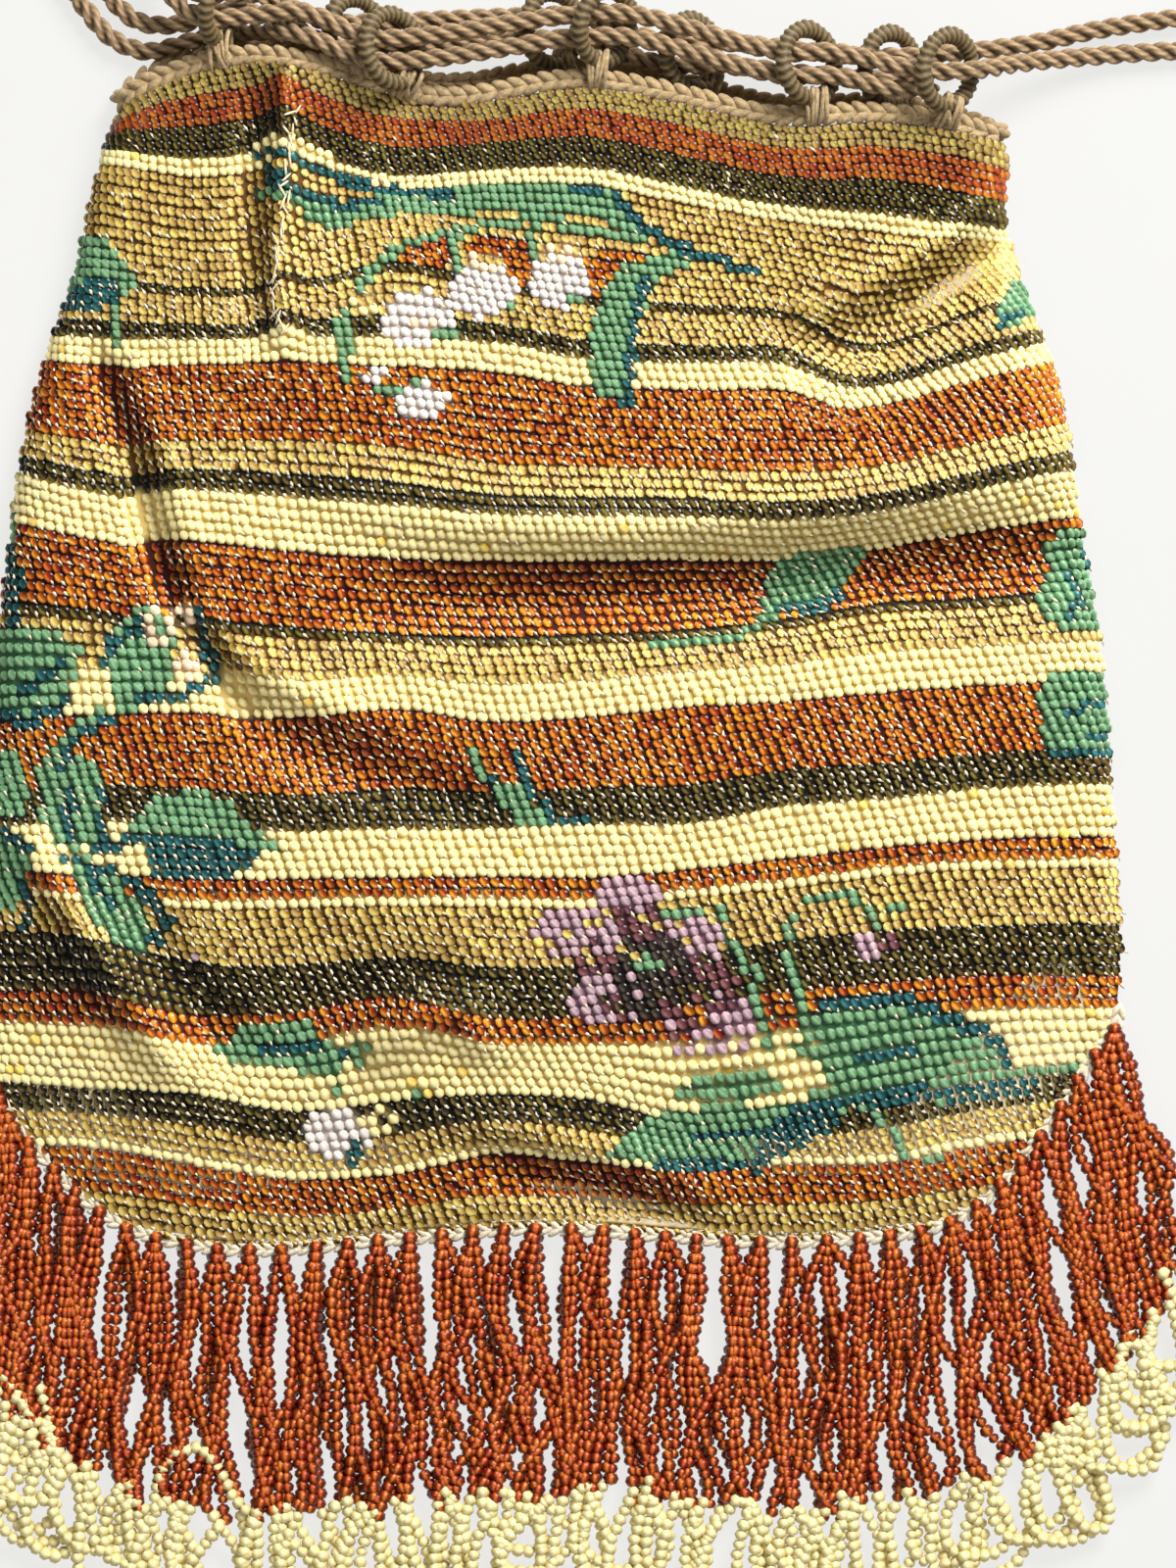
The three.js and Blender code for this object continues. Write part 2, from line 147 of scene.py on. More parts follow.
# Sizes of the crocheted edges, mm
EDGING_LIFT = (1.3, 2.6)  # from the mouth's rim to the middle of the edging, on the front and the back
EDGING_STITCH = 2.4
EDGING_WIDTH = 2.8
EDGING_LOW = 1.1  # lowest height of its middle
RIM_PX = (114, 1028)  # photo places across at which the rim begins and ends
RIM_STEPS = 90
RIM_DEPTH_PX = 16  # below the mouth, where the cloth surely is
HEAD_LIFT = -0.1  # from the bottom line to the crocheted thread along it
HEAD_STITCH = 1.9
HEAD_WIDTH = 1.9
STITCH_ASIDE = 0.24  # shares of a braid's width: from its middle to a stitch, and half of a stitch
STITCH_HALF = 0.3
STITCH_REACH = 0.78  # half of a stitch's length as a share of the step from stitch to stitch
STITCH_SLANT = (0.9, 0.42)  # along the braid and towards its middle
STITCH_RISE = 1.1  # height of a stitch as a share of its thickness
STITCH_STRAY = 0.08  # how far single stitches move along the braid and turn
STITCH_TURN = 0.06
CORE_SIDES = 6
CORE_DROP = 0.15  # how far the core lies below a braid's line, as a share of its width

# Sizes of the fringe, mm
FRINGE_MIDDLE_PX = (570, 900)  # photo pixel from which the bottom edge is swept, and the angles of its ends
FRINGE_DEGREES = (-164, -13)
FRINGE_STEP = 5  # between two stitches that carry strings
FRINGE_LEGS = 5  # legs of strings on one stitch
FRINGE_SPREAD = (0.06, 0.26)  # how far the first and the last leg turn from -Y outwards from the edge
FRINGE_PITCH = 1.58  # from bead to bead along a string
FRINGE_BEAD = 2.25  # thickness of a bead
FRINGE_OVERLAP = 1.24  # length of a bead as a share of the pitch
FRINGE_STRAY = 0.1  # how far single beads stray: aside, in direction and in share of their size
FRINGE_TURN = 0.12
FRINGE_VARIES = 0.07
FRINGE_HEIGHT = 3.4  # how high crossing strings pile up
FRINGE_NEST = 1.8  # radii from string to string where one lies on another
FRINGE_FALL = 0.5  # steepest fall from bead to bead, in radii
LEG_LENGTH = 41
LEG_VARIES = 1.4  # spread of that length
LEG_STRAY = 1.3  # how many places aside of its own a leg hangs
LEG_DRIFTS = (0.5, 0.95)  # how late a leg moves over to that place: less than 1 is early
LEG_WAVE = 1.7  # spread of its long waves, and their range of half waves on a leg
LEG_WAVES = (1.0, 2.6)
LEG_RIPPLE = 0.9  # the same for its short waves
LEG_RIPPLES = (3, 5)
LEG_SETTLES = 5  # length over which a leg comes down to the surface
LOOP_DEPTH = 15.5  # of a pale loop below the legs, and how far its sides bulge
LOOP_BULGE = 3.6
LOOP_DEPTH_VARIES = 2.2
LOOP_BULGE_VARIES = 1.2
LOOP_SWAY = 2.4  # how far a loop swings aside
LOOP_GROUP = 8  # legs side by side
LOOP_PAIRS = ((0, 4), (2, 6), (5, 7))  # legs of one group whose ends a loop joins
STRAY_LOOP_PX = [
    (158, 1540), (160, 1515), (168, 1494), (182, 1481), (200, 1478), (214, 1486), (224, 1502), (234, 1522),
    (250, 1542),
]

# Knitted bands from the mouth down: colour and number of rows
BANDS = [
    ("olive", 3), ("deep_rust", 4), ("dark", 4), ("cream", 2), ("gold", 11), ("dark", 1), ("gold", 4),
    ("dark", 2), ("cream", 3), ("rust", 8), ("gold", 3), ("dark", 2), ("cream", 5), ("rust", 7),
    ("dark", 1), ("gold", 4), ("cream", 4), ("rust", 8), ("dark", 4), ("cream", 5), ("rust", 2),
    ("cream", 1), ("gold", 6), ("dark", 5), ("rust", 3), ("cream", 6), ("dark", 3), ("gold", 3),
    ("cream", 1), ("rust", 4), ("gold", 4),
]
ROW_COLOURS = [colour for colour, rows in BANDS for _ in range(rows)]

# Course of single rows over the front: the row's number and its photo height at each station across
STATIONS = [0, 100, 200, 300, 400, 500, 600, 700, 800, 900, 1000, 1100]
Course = namedtuple("Course", "row heights")
COURSES = [
    Course(0, [170, 122, 75, 70, 98, 105, 91, 108, 130, 126, 140, 175]),
    Course(11, [150, 152, 163, 157, 180, 174, 173, 193, 212, 220, 232, 240]),
    Course(24, [275, 283, 295, 292, 268, 288, 304, 312, 318, 345, 312, 290]),
    Course(31, [335, 345, 347, 346, 345, 350, 367, 371, 371, 391, 365, 340]),
    Course(42, [432, 450, 450, 450, 456, 472, 476, 478, 480, 473, 450, 428]),
    Course(47, [478, 502, 500, 508, 516, 525, 527, 528, 533, 524, 500, 478]),
    Course(59, [612, 622, 630, 640, 645, 648, 645, 640, 630, 613, 608, 600]),
    Course(68, [735, 730, 728, 735, 724, 737, 732, 722, 716, 707, 700, 695]),
    Course(80, [842, 838, 843, 848, 845, 845, 841, 840, 823, 815, 805, 800]),
    Course(87, [905, 912, 918, 917, 915, 915, 917, 907, 897, 885, 878, 876]),
    Course(94, [950, 958, 983, 985, 978, 987, 985, 975, 960, 950, 945, 943]),
    Course(99, [1010, 1014, 1035, 1032, 1015, 1037, 1036, 1025, 1010, 1002, 995, 995]),
    Course(108, [1105, 1112, 1119, 1135, 1125, 1117, 1123, 1147, 1140, 1122, 1105, 1095]),
    Course(114, [1160, 1163, 1180, 1195, 1190, 1172, 1180, 1188, 1181, 1178, 1160, 1148]),
    Course(123, [1262, 1262, 1274, 1278, 1267, 1259, 1257, 1266, 1271, 1264, 1255, 1248]),
]

# Kinks of the rows where a fold pulls them: photo place, height range, width and shift in pixels
Kink = namedtuple("Kink", "x top bottom width shift")
KINKS = [
    Kink(290, 40, 345, 22, -14),
    Kink(858, 300, 420, 34, 9),
    Kink(130, 380, 640, 16, 5),
]

# Folds on top of the bag's large form: height in mm, half width and line in photo pixels
Fold = namedtuple("Fold", "height width line")
FOLDS = [
    # Darned ridge at the top left and the hollows beside it
    Fold(2.2, 14, [(296, 30), (290, 150), (284, 250), (290, 365)]),
    Fold(-1.8, 16, [(260, 70), (255, 200), (256, 365)]),
    Fold(-1.0, 26, [(325, 110), (345, 200), (356, 290)]),
    # Flap at the top right with the hollow under it
    Fold(2.4, 22, [(1060, 165), (960, 248), (850, 310), (800, 330)]),
    Fold(-4.2, 26, [(1070, 225), (970, 292), (880, 346), (800, 372)]),
    # Roll across the middle and the hollow below it
    Fold(3.5, 34, [(300, 500), (480, 530), (640, 538), (800, 524), (1060, 480), (1180, 462)]),
    Fold(-6.0, 40, [(320, 620), (480, 618), (640, 610), (800, 598), (1060, 572), (1180, 558)]),
    # Crease down the left side
    Fold(-2.6, 15, [(88, 330), (132, 460), (160, 570), (196, 670)]),
    Fold(1.4, 20, [(130, 340), (172, 470), (198, 570), (220, 640)]),
    # Pinch under the left flower and the folds that run from it
    Fold(-3.4, 16, [(190, 630), (218, 672), (262, 740)]),
    Fold(2.0, 26, [(120, 600), (220, 655), (310, 705), (430, 750)]),
    Fold(-2.2, 32, [(240, 728), (320, 770), (400, 800), (520, 830)]),
    # Ridge at the bottom left
    Fold(2.8, 25, [(10, 820), (50, 890), (100, 972), (145, 1040), (200, 1120)]),
    Fold(-2.2, 30, [(110, 890), (160, 970), (215, 1040), (270, 1100)]),
    # Hump left of the pansy
    Fold(2.6, 28, [(370, 1080), (425, 1038), (470, 1036), (530, 1085)]),
    Fold(-1.4, 22, [(310, 1034), (370, 1002), (430, 988), (500, 992)]),
    # Wave along the bottom
    Fold(2.2, 26, [(440, 1130), (560, 1160), (640, 1180), (760, 1226)]),
    Fold(-1.6, 24, [(470, 1185), (580, 1212), (660, 1236), (740, 1262)]),
]

# The bag thins towards its bottom edge: share of its fullness lost there, half width and line in pixels
THINNING = 0.72
THINNING_WIDTH = 165
BOTTOM_EDGE_PX = [
    (-120, 1050), (60, 1190), (130, 1235), (220, 1258), (330, 1260), (440, 1250), (550, 1242), (680, 1250),
    (800, 1256), (900, 1248), (980, 1215), (1080, 1110), (1190, 950),
]

# Motifs of the knitted pattern in photo pixels. Patches come first, then strokes, then spots.
Patch = namedtuple("Patch", "colour outline")
PATCHES = [
    # Branch of white flowers near the mouth
    Patch("rust", [(405, 264), (420, 248), (460, 244), (460, 272), (430, 270)]),
    Patch("rust", [(470, 245), (500, 239), (538, 246), (542, 296), (524, 296), (514, 268), (480, 258)]),
    Patch("rust", [(590, 270), (615, 260), (668, 256), (655, 292), (622, 306), (600, 298)]),
    Patch("green", [
        (298, 196), (330, 206), (360, 206), (400, 198), (460, 190), (530, 185), (590, 186), (622, 194),
        (646, 212), (662, 242), (640, 242), (612, 224), (570, 218), (500, 219), (420, 219), (380, 223),
        (345, 233), (315, 229),
    ]),
    Patch("green", [
        (640, 268), (700, 256), (706, 272), (668, 290), (652, 330), (646, 402), (615, 408), (600, 396),
        (602, 346), (614, 306),
    ]),
    Patch("teal", [(266, 174), (300, 174), (302, 196), (266, 194)]),
    Patch("green", [(260, 194), (302, 196), (304, 206), (260, 204)]),
    # Leaves at the left and right edges
    Patch("green", [(60, 262), (76, 244), (96, 240), (116, 250), (136, 280), (138, 300), (60, 304)]),
    Patch("teal", [(52, 304), (84, 286), (124, 288), (118, 313), (60, 320)]),
    Patch("green", [(1014, 336), (1022, 300), (1046, 280), (1080, 284), (1084, 316), (1040, 328)]),
    Patch("green", [
        (770, 626), (786, 604), (780, 588), (798, 574), (818, 566), (886, 562), (866, 590), (856, 608),
        (836, 621), (800, 623), (786, 632),
    ]),
    Patch("green", [
        (1056, 622), (1060, 598), (1070, 578), (1066, 558), (1086, 540), (1150, 534), (1160, 640),
        (1080, 642),
    ]),
    Patch("green", [
        (1056, 712), (1074, 690), (1096, 680), (1160, 684), (1164, 766), (1070, 774), (1064, 742),
    ]),
    # Spray at the left edge
    Patch("green", [(-30, 524), (14, 524), (16, 560), (-30, 562)]),
    Patch("green", [
        (-40, 644), (30, 639), (62, 648), (82, 660), (86, 692), (76, 716), (50, 732), (20, 733), (-40, 726),
    ]),
    Patch("green", [
        (104, 662), (116, 638), (136, 621), (162, 617), (178, 640), (178, 690), (160, 716), (120, 728),
        (107, 700),
    ]),
    Patch("green", [(-20, 766), (20, 762), (30, 800), (26, 834), (-20, 834)]),
    Patch("green", [
        (42, 776), (60, 769), (92, 774), (107, 800), (110, 852), (82, 867), (58, 862), (41, 830),
    ]),
    Patch("green", [
        (124, 852), (140, 830), (162, 814), (192, 805), (218, 810), (242, 825), (262, 846), (290, 868),
        (262, 874), (220, 857), (150, 855),
    ]),
    Patch("teal", [(150, 852), (222, 855), (264, 870), (246, 892), (208, 896), (160, 892)]),
    Patch("green", [
        (70, 872), (100, 876), (124, 898), (146, 928), (160, 956), (150, 972), (124, 962), (104, 942),
        (90, 914),
    ]),
    Patch("green", [(-20, 846), (24, 852), (28, 902), (10, 930), (-20, 930)]),
    # Single leaf in the middle
    Patch("green", [(498, 798), (532, 801), (547, 820), (556, 845), (530, 843), (508, 822)]),
    # Leaves under the pansy
    Patch("green", [
        (826, 1052), (842, 1022), (880, 1016), (932, 1020), (976, 1043), (1012, 1054), (1024, 1078),
        (1030, 1098), (1000, 1122), (950, 1128), (900, 1112), (862, 1128), (842, 1104),
    ]),
    Patch("green", [
        (604, 1184), (640, 1156), (680, 1134), (742, 1128), (800, 1128), (850, 1106), (876, 1120),
        (850, 1152), (800, 1178), (760, 1190), (690, 1192),
    ]),
    Patch("green", [(688, 1120), (700, 1104), (742, 1093), (784, 1090), (794, 1112), (760, 1122)]),
    Patch("teal", [(800, 1136), (862, 1120), (852, 1152), (802, 1180), (772, 1195), (768, 1172)]),
    # Small leaf and white flower at the bottom left
    Patch("green", [
        (210, 1072), (240, 1060), (250, 1043), (282, 1040), (322, 1046), (342, 1074), (350, 1098),
        (320, 1098), (270, 1087), (230, 1080),
    ]),
]

Stroke = namedtuple("Stroke", "colour width line")
STROKES = [
    Stroke("cream", 9, [(250, 164), (270, 146), (300, 144), (330, 160), (352, 172)]),
    Stroke("teal", 9, [(262, 158), (300, 158)]),
    Stroke("teal", 10, [(303, 160), (330, 175), (352, 186), (376, 191)]),
    Stroke("teal", 10, [(296, 192), (320, 203), (350, 212), (384, 206)]),
    Stroke("teal", 11, [(376, 194), (420, 197), (462, 198)]),
    Stroke("teal", 10, [(582, 191), (614, 193)]),
    Stroke("teal", 13, [(628, 204), (646, 224), (668, 240), (700, 258)]),
    Stroke("teal", 9, [(700, 258), (735, 268), (774, 280)]),
    Stroke("green", 10, [
        (352, 322), (366, 299), (377, 280), (392, 266), (412, 251), (433, 244), (463, 238), (504, 230),
        (545, 225), (568, 228), (606, 238), (660, 246),
    ]),
    Stroke("green", 9, [(464, 240), (466, 278)]),
    Stroke("green", 9, [(543, 228), (543, 264)]),
    Stroke("green", 13, [(350, 322), (356, 390)]),
    Stroke("teal", 11, [(660, 288), (650, 318), (645, 350), (642, 384), (640, 416)]),
    Stroke("green", 11, [(118, 316), (114, 356)]),
    Stroke("teal", 9, [(1022, 328), (1044, 318)]),
    Stroke("green", 9, [(664, 652), (704, 650), (745, 650), (770, 640), (786, 626)]),
    Stroke("teal", 11, [(800, 618), (836, 616), (858, 604)]),
    Stroke("teal", 10, [(1096, 588), (1106, 612), (1092, 632)]),
    Stroke("teal", 10, [(1110, 560), (1126, 600)]),
    Stroke("teal", 10, [(1094, 728), (1116, 718), (1144, 720)]),
    Stroke("teal", 10, [(1112, 752), (1144, 752)]),
    Stroke("teal", 9, [(1070, 772), (1140, 768)]),
    Stroke("teal", 18, [(8, 564), (14, 600), (12, 636)]),
    Stroke("teal", 12, [(16, 710), (40, 694), (60, 678)]),
    Stroke("teal", 12, [(-20, 734), (30, 734), (56, 730), (82, 700)]),
    Stroke("teal", 11, [(110, 652), (111, 692)]),
    Stroke("teal", 11, [(116, 664), (136, 644), (154, 630)]),
    Stroke("teal", 13, [(143, 713), (186, 708), (218, 692)]),
    Stroke("teal", 12, [(200, 624), (208, 654), (222, 684)]),
    Stroke("green", 12, [(108, 728), (74, 746), (50, 776), (40, 790)]),
    Stroke("teal", 9, [(116, 732), (82, 752), (60, 782)]),
    Stroke("teal", 12, [(70, 806), (70, 858)]),
    Stroke("teal", 10, [(103, 810), (104, 856)]),
    Stroke("teal", 13, [(102, 866), (150, 852)]),
    Stroke("teal", 12, [(134, 902), (160, 922), (172, 944), (156, 962)]),
    Stroke("teal", 10, [(98, 902), (118, 926)]),
    Stroke("teal", 11, [(0, 846), (24, 862), (40, 870)]),
    Stroke("teal", 10, [(16, 900), (30, 920), (26, 950)]),
    Stroke("teal", 9, [(64, 874), (92, 884), (120, 884)]),
    Stroke("green", 9, [(478, 764), (488, 784), (502, 802)]),
    Stroke("teal", 10, [(530, 766), (532, 796), (548, 812), (562, 832), (598, 840)]),
    Stroke("teal", 9, [(494, 786), (502, 800)]),
    Stroke("green", 11, [(732, 930), (736, 955), (752, 968), (768, 992), (778, 1030), (786, 1070)]),
    Stroke("green", 11, [(810, 938), (801, 952), (806, 978), (815, 1010), (823, 1066)]),
    Stroke("green", 10, [(824, 920), (860, 912), (884, 926), (892, 946)]),
    Stroke("green", 10, [(906, 926), (922, 926)]),
    Stroke("green", 11, [(672, 930), (708, 932)]),
    Stroke("teal", 16, [
        (842, 1026), (876, 1019), (930, 1022), (966, 1038), (1008, 1054), (1024, 1076), (1030, 1090),
    ]),
    Stroke("teal", 10, [(872, 1080), (905, 1077), (936, 1071)]),
    Stroke("teal", 16, [(874, 1124), (930, 1114), (990, 1118), (1052, 1106)]),
    Stroke("green", 11, [(1024, 1096), (1102, 1092)]),
    Stroke("green", 12, [(808, 1068), (842, 1082), (852, 1110)]),
    Stroke("teal", 10, [(710, 1160), (774, 1156)]),
    Stroke("teal", 13, [(676, 1188), (774, 1190)]),
    Stroke("green", 10, [(883, 1128), (906, 1152), (926, 1182)]),
    Stroke("teal", 9, [(262, 1070), (330, 1066)]),
]

Spot = namedtuple("Spot", "colour x y half_width half_height share")
SPOTS = [
    Spot("white", 426, 326, 36, 30, 1),
    Spot("white", 492, 298, 36, 28, 1),
    Spot("peach", 494, 268, 22, 8, 0.8),
    Spot("white", 572, 288, 31, 30, 1),
    Spot("peach", 572, 258, 24, 8, 0.8),
    Spot("white", 430, 410, 29, 19, 1),
    Spot("white", 384, 384, 16, 6, 1),
    Spot("cream", 374, 312, 14, 12, 0.8),
    Spot("peach", 430, 328, 14, 8, 0.4),
    Spot("green", 454, 342, 13, 8, 1),
    Spot("green", 432, 392, 14, 6, 0.7),
    Spot("green", 398, 398, 12, 8, 1),
    Spot("green", 519, 316, 6, 6, 1),
    Spot("green", 586, 306, 12, 7, 0.8),
    Spot("cream", 93, 698, 22, 20, 0.85),
    Spot("peach", 163, 640, 13, 20, 0.8),
    Spot("peach", 188, 630, 12, 20, 0.8),
    Spot("peach", 190, 682, 14, 18, 0.8),
    Spot("cream", 132, 880, 20, 9, 1),
    Spot("lilac", 640, 912, 33, 17, 1),
    Spot("lilac", 588, 952, 46, 27, 0.9),
    Spot("lilac", 702, 962, 34, 30, 0.8),
    Spot("lilac", 620, 1018, 48, 26, 0.75),
    Spot("lilac", 745, 1046, 27, 38, 0.9),
    Spot("lilac", 697, 1058, 25, 19, 0.8),
    Spot("plum", 650, 940, 26, 22, 0.75),
    Spot("plum", 612, 978, 34, 18, 0.6),
    Spot("plum", 716, 1014, 42, 36, 0.7),
    Spot("plum", 636, 1024, 30, 16, 0.5),
    Spot("plum", 690, 1046, 22, 16, 0.6),
    Spot("black", 664, 994, 40, 46, 0.72),
    Spot("green", 661, 983, 13, 11, 1),
    Spot("yellow", 547, 961, 7, 7, 1),
    Spot("lilac", 886, 968, 16, 15, 1),
    Spot("plum", 906, 962, 8, 9, 1),
    Spot("green", 954, 1185, 7, 7, 1),
    Spot("green", 362, 1074, 12, 14, 1),
    Spot("teal", 352, 1078, 6, 8, 1),
    Spot("white", 344, 1158, 33, 28, 1),
    Spot("cream", 386, 1146, 18, 14, 0.8),
    Spot("teal", 361, 1176, 7, 14, 1),
    Spot("green", 345, 1112, 9, 8, 1),
    Spot("green", 430, 1118, 7, 7, 1),
    Spot("lilac", 282, 926, 6, 6, 1),
    Spot("lilac", 196, 978, 6, 6, 1),
]

# Glass of the beads: 8-bit colours of the painted shade at the rim, the body and the painted light at the
# core, the roughness, and how much beads differ
Glass = namedtuple("Glass", "rim body core roughness variety")
CLEAR_GLASS = {
    "gold": Glass((94, 64, 16), (210, 166, 78), (254, 234, 154), 0.24, 0.36),
    "rust": Glass((58, 11, 1), (168, 56, 6), (250, 154, 50), 0.22, 0.46),
    # Darker gold and rust for the rows at the mouth
    "olive": Glass((78, 58, 20), (156, 126, 62), (208, 178, 104), 0.28, 0.36),
    "deep_rust": Glass((70, 20, 4), (146, 54, 16), (210, 110, 46), 0.26, 0.45),
    "dark": Glass((13, 9, 2), (43, 32, 8), (134, 110, 50), 0.2, 0.5),
    "teal": Glass((6, 44, 46), (18, 78, 80), (68, 128, 120), 0.26, 0.36),
    "plum": Glass((62, 26, 34), (112, 62, 70), (158, 106, 112), 0.26, 0.5),
    "black": Glass((20, 14, 12), (48, 36, 32), (100, 84, 70), 0.2, 0.6),
}
OPAQUE_GLASS = {
    "cream": Glass((214, 188, 116), (250, 234, 167), (253, 240, 180), 0.4, 0.14),
    "green": Glass((66, 108, 72), (106, 149, 102), (138, 176, 132), 0.36, 0.26),
    "white": Glass((198, 186, 178), (230, 220, 211), (242, 234, 226), 0.36, 0.14),
    "peach": Glass((222, 186, 146), (244, 216, 178), (250, 230, 200), 0.36, 0.16),
    "lilac": Glass((132, 98, 112), (184, 150, 160), (212, 184, 190), 0.32, 0.36),
    "yellow": Glass((206, 160, 60), (240, 206, 96), (250, 226, 140), 0.3, 0.2),
    "fringe_rust": Glass((58, 11, 1), (126, 33, 5), (204, 94, 32), 0.34, 0.24),
    "fringe_pale": Glass((204, 187, 122), (228, 213, 152), (242, 230, 178), 0.45, 0.1),
}
GLASS = CLEAR_GLASS | OPAQUE_GLASS

# Helpers for places

KINK_FADE = 0.2  # share of a kink's half height over which it runs out
FOLD_SEARCH_PX = (20, 40)  # distances at which the lowest fold near a place is looked for
SLOPE_STEP_PX = 2


def full_turn(count):
    """Even angles round a full turn."""
    return 2 * math.pi * np.arange(count) / count


def unit(vectors):
    vectors = np.asarray(vectors, float)
    return vectors / np.linalg.norm(vectors, axis=-1, keepdims=True)


def smooth_at(keys, values, at):
    """Smooth curve through key and value pairs, read at one place or at many."""
    keys = np.asarray(keys, float)
    values = np.asarray(values, float)
    slopes = np.gradient(values, keys, axis=0)
    i = np.clip(np.searchsorted(keys, at) - 1, 0, len(keys) - 2)
    span = keys[i + 1] - keys[i]
    f = np.clip((at - keys[i]) / span, 0, 1)
    rise = f * f * (3 - 2 * f)
    bend = f * (1 - f) ** 2 * span * slopes[i] + f * f * (f - 1) * span * slopes[i + 1]
    return values[i] * (1 - rise) + values[i + 1] * rise + bend


bag_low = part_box("bag")[0]
SHIFT = np.array([bag_low[0] - LAYOUT_BAG_LOW[0] * MM, bag_low[1] - LAYOUT_BAG_LOW[1] * MM, 0])


def from_layout(x, y, z):
    """Place in the frame of a point of the purse's layout in mm."""
    return SHIFT + MM * np.array([x, y, z])


def from_pixel(px, py):
    """Place in the frame, as X and Y, of a photo pixel on the purse."""
    x = SHIFT[0] + (np.asarray(px) - LAYOUT_ZERO_PX[0]) * PIXEL
    y = SHIFT[1] + (LAYOUT_ZERO_PX[1] - np.asarray(py)) * PIXEL
    return x, y


def to_pixel(x, y):
    """Photo pixel of a place in the frame."""
    px = LAYOUT_ZERO_PX[0] + (np.asarray(x) - SHIFT[0]) / PIXEL
    py = LAYOUT_ZERO_PX[1] - (np.asarray(y) - SHIFT[1]) / PIXEL
    return px, py


def line_position(px, py, line):
    """Distance of photo pixels from a line of points, and the share of its length at which they lie."""
    lengths = [math.dist(start, end) for start, end in zip(line, line[1:])]
    distance = np.full(np.shape(px), np.inf)
    share = np.zeros(np.shape(px))
    passed = 0
    for (x0, y0), (x1, y1), length in zip(line, line[1:], lengths):
        along = ((px - x0) * (x1 - x0) + (py - y0) * (y1 - y0)) / length
        along = np.clip(along, 0, length) / length
        away = np.hypot(px - x0 - along * (x1 - x0), py - y0 - along * (y1 - y0))
        share = np.where(away < distance, (passed + along * length) / sum(lengths), share)
        distance = np.minimum(distance, away)
        passed += length
    return distance, share


def inside_outline(px, py, outline):
    """True where photo pixels lie inside a closed outline."""
    inside = np.zeros(np.shape(px), bool)
    for (x0, y0), (x1, y1) in zip(outline, outline[1:] + outline[:1]):
        if y0 == y1:
            continue
        crosses = (y0 > py) != (y1 > py)
        inside ^= crosses & (px < (x1 - x0) * (py - y0) / (y1 - y0) + x0)
    return inside


def row_height(px, row):
    """Photo height of a knitted row at places across the front."""
    heights = np.array([smooth_at(STATIONS, course.heights, px) for course in COURSES])
    py = smooth_at([course.row for course in COURSES], heights, row)
    for kink in KINKS:
        away = np.abs(py - (kink.top + kink.bottom) / 2) / (kink.bottom - kink.top) * 2
        reach = np.clip(1 + KINK_FADE - away, 0, KINK_FADE) / KINK_FADE
        py = py + kink.shift * reach * np.exp(-(((px - kink.x) / kink.width) ** 2))
    return py


def fold_height(px, py):
    """Height in metres that the folds add to the front. Each fold runs out towards its ends."""
    total = np.zeros(np.shape(px))
    for fold in FOLDS:
        away, share = line_position(px, py, fold.line)
        height = fold.height * MM * (1 - np.abs(2 * share - 1) ** 3)
        total = total + height * np.exp(-((away / fold.width) ** 2))
    return total


def lowest_fold(px, py):
    """Lowest height of the folds in a small neighbourhood."""
    lowest = fold_height(px, py)
    for reach in FOLD_SEARCH_PX:
        for angle in full_turn(12):
            nearby = fold_height(px + reach * math.cos(angle), py + reach * math.sin(angle))
            lowest = np.minimum(lowest, nearby)
    return lowest


def fullness(px, py):
    """Share of its height over the seam that the front keeps."""
    away, _ = line_position(px, py, BOTTOM_EDGE_PX)
    return 1 - THINNING * np.exp(-((away / THINNING_WIDTH) ** 2))


def slope(surface, px, py):
    """Slope towards +X and +Y of a quantity that is given over photo pixels."""
    step = SLOPE_STEP_PX
    along_x = surface(px + step, py) - surface(px - step, py)
    along_y = surface(px, py - step) - surface(px, py + step)
    return np.stack([along_x, along_y, np.zeros_like(along_x)], axis=-1) / (2 * step * PIXEL)


# Helpers for lines

def lengths_along(path):
    """Length of a line of points up to each of them."""
    return np.concatenate([[0], np.cumsum(np.linalg.norm(np.diff(path, axis=0), axis=1))])


def evenly_along(path, spacing=None, count=None, closed=False):
    """Points at even steps along a line of points."""
    path = np.asarray(path, float)
    if closed:
        path = np.vstack([path, path[:1]])
    lengths = lengths_along(path)
    if count is None:
        count = max(int(round(lengths[-1] / spacing)), 2)
    stops = np.linspace(0, lengths[-1], count, endpoint=not closed)
    return np.column_stack([np.interp(stops, lengths, path[:, k]) for k in range(3)])


def between(first, last, start, end, at):
    """Point on the straight line that runs from one point at start to another at end."""
    return (first * (end - at) + last * (at - start)) / (end - start)


def smooth_loop(points, steps):
    """Closed curve through points, with the same number of steps between each two."""
    points = np.asarray(points, float)
    curve = []
    for i in range(len(points)):
        p = [points[(i + k) % len(points)] for k in (-1, 0, 1, 2)]
        knots = np.cumsum([0] + [np.linalg.norm(p[k + 1] - p[k]) ** 0.5 for k in range(3)])
        for at in np.linspace(knots[1], knots[2], steps, endpoint=False):
            a = [between(p[k], p[k + 1], knots[k], knots[k + 1], at) for k in range(3)]
            b = [between(a[k], a[k + 1], knots[k], knots[k + 2], at) for k in range(2)]
            curve.append(between(b[0], b[1], knots[1], knots[2], at))
    return np.array(curve)


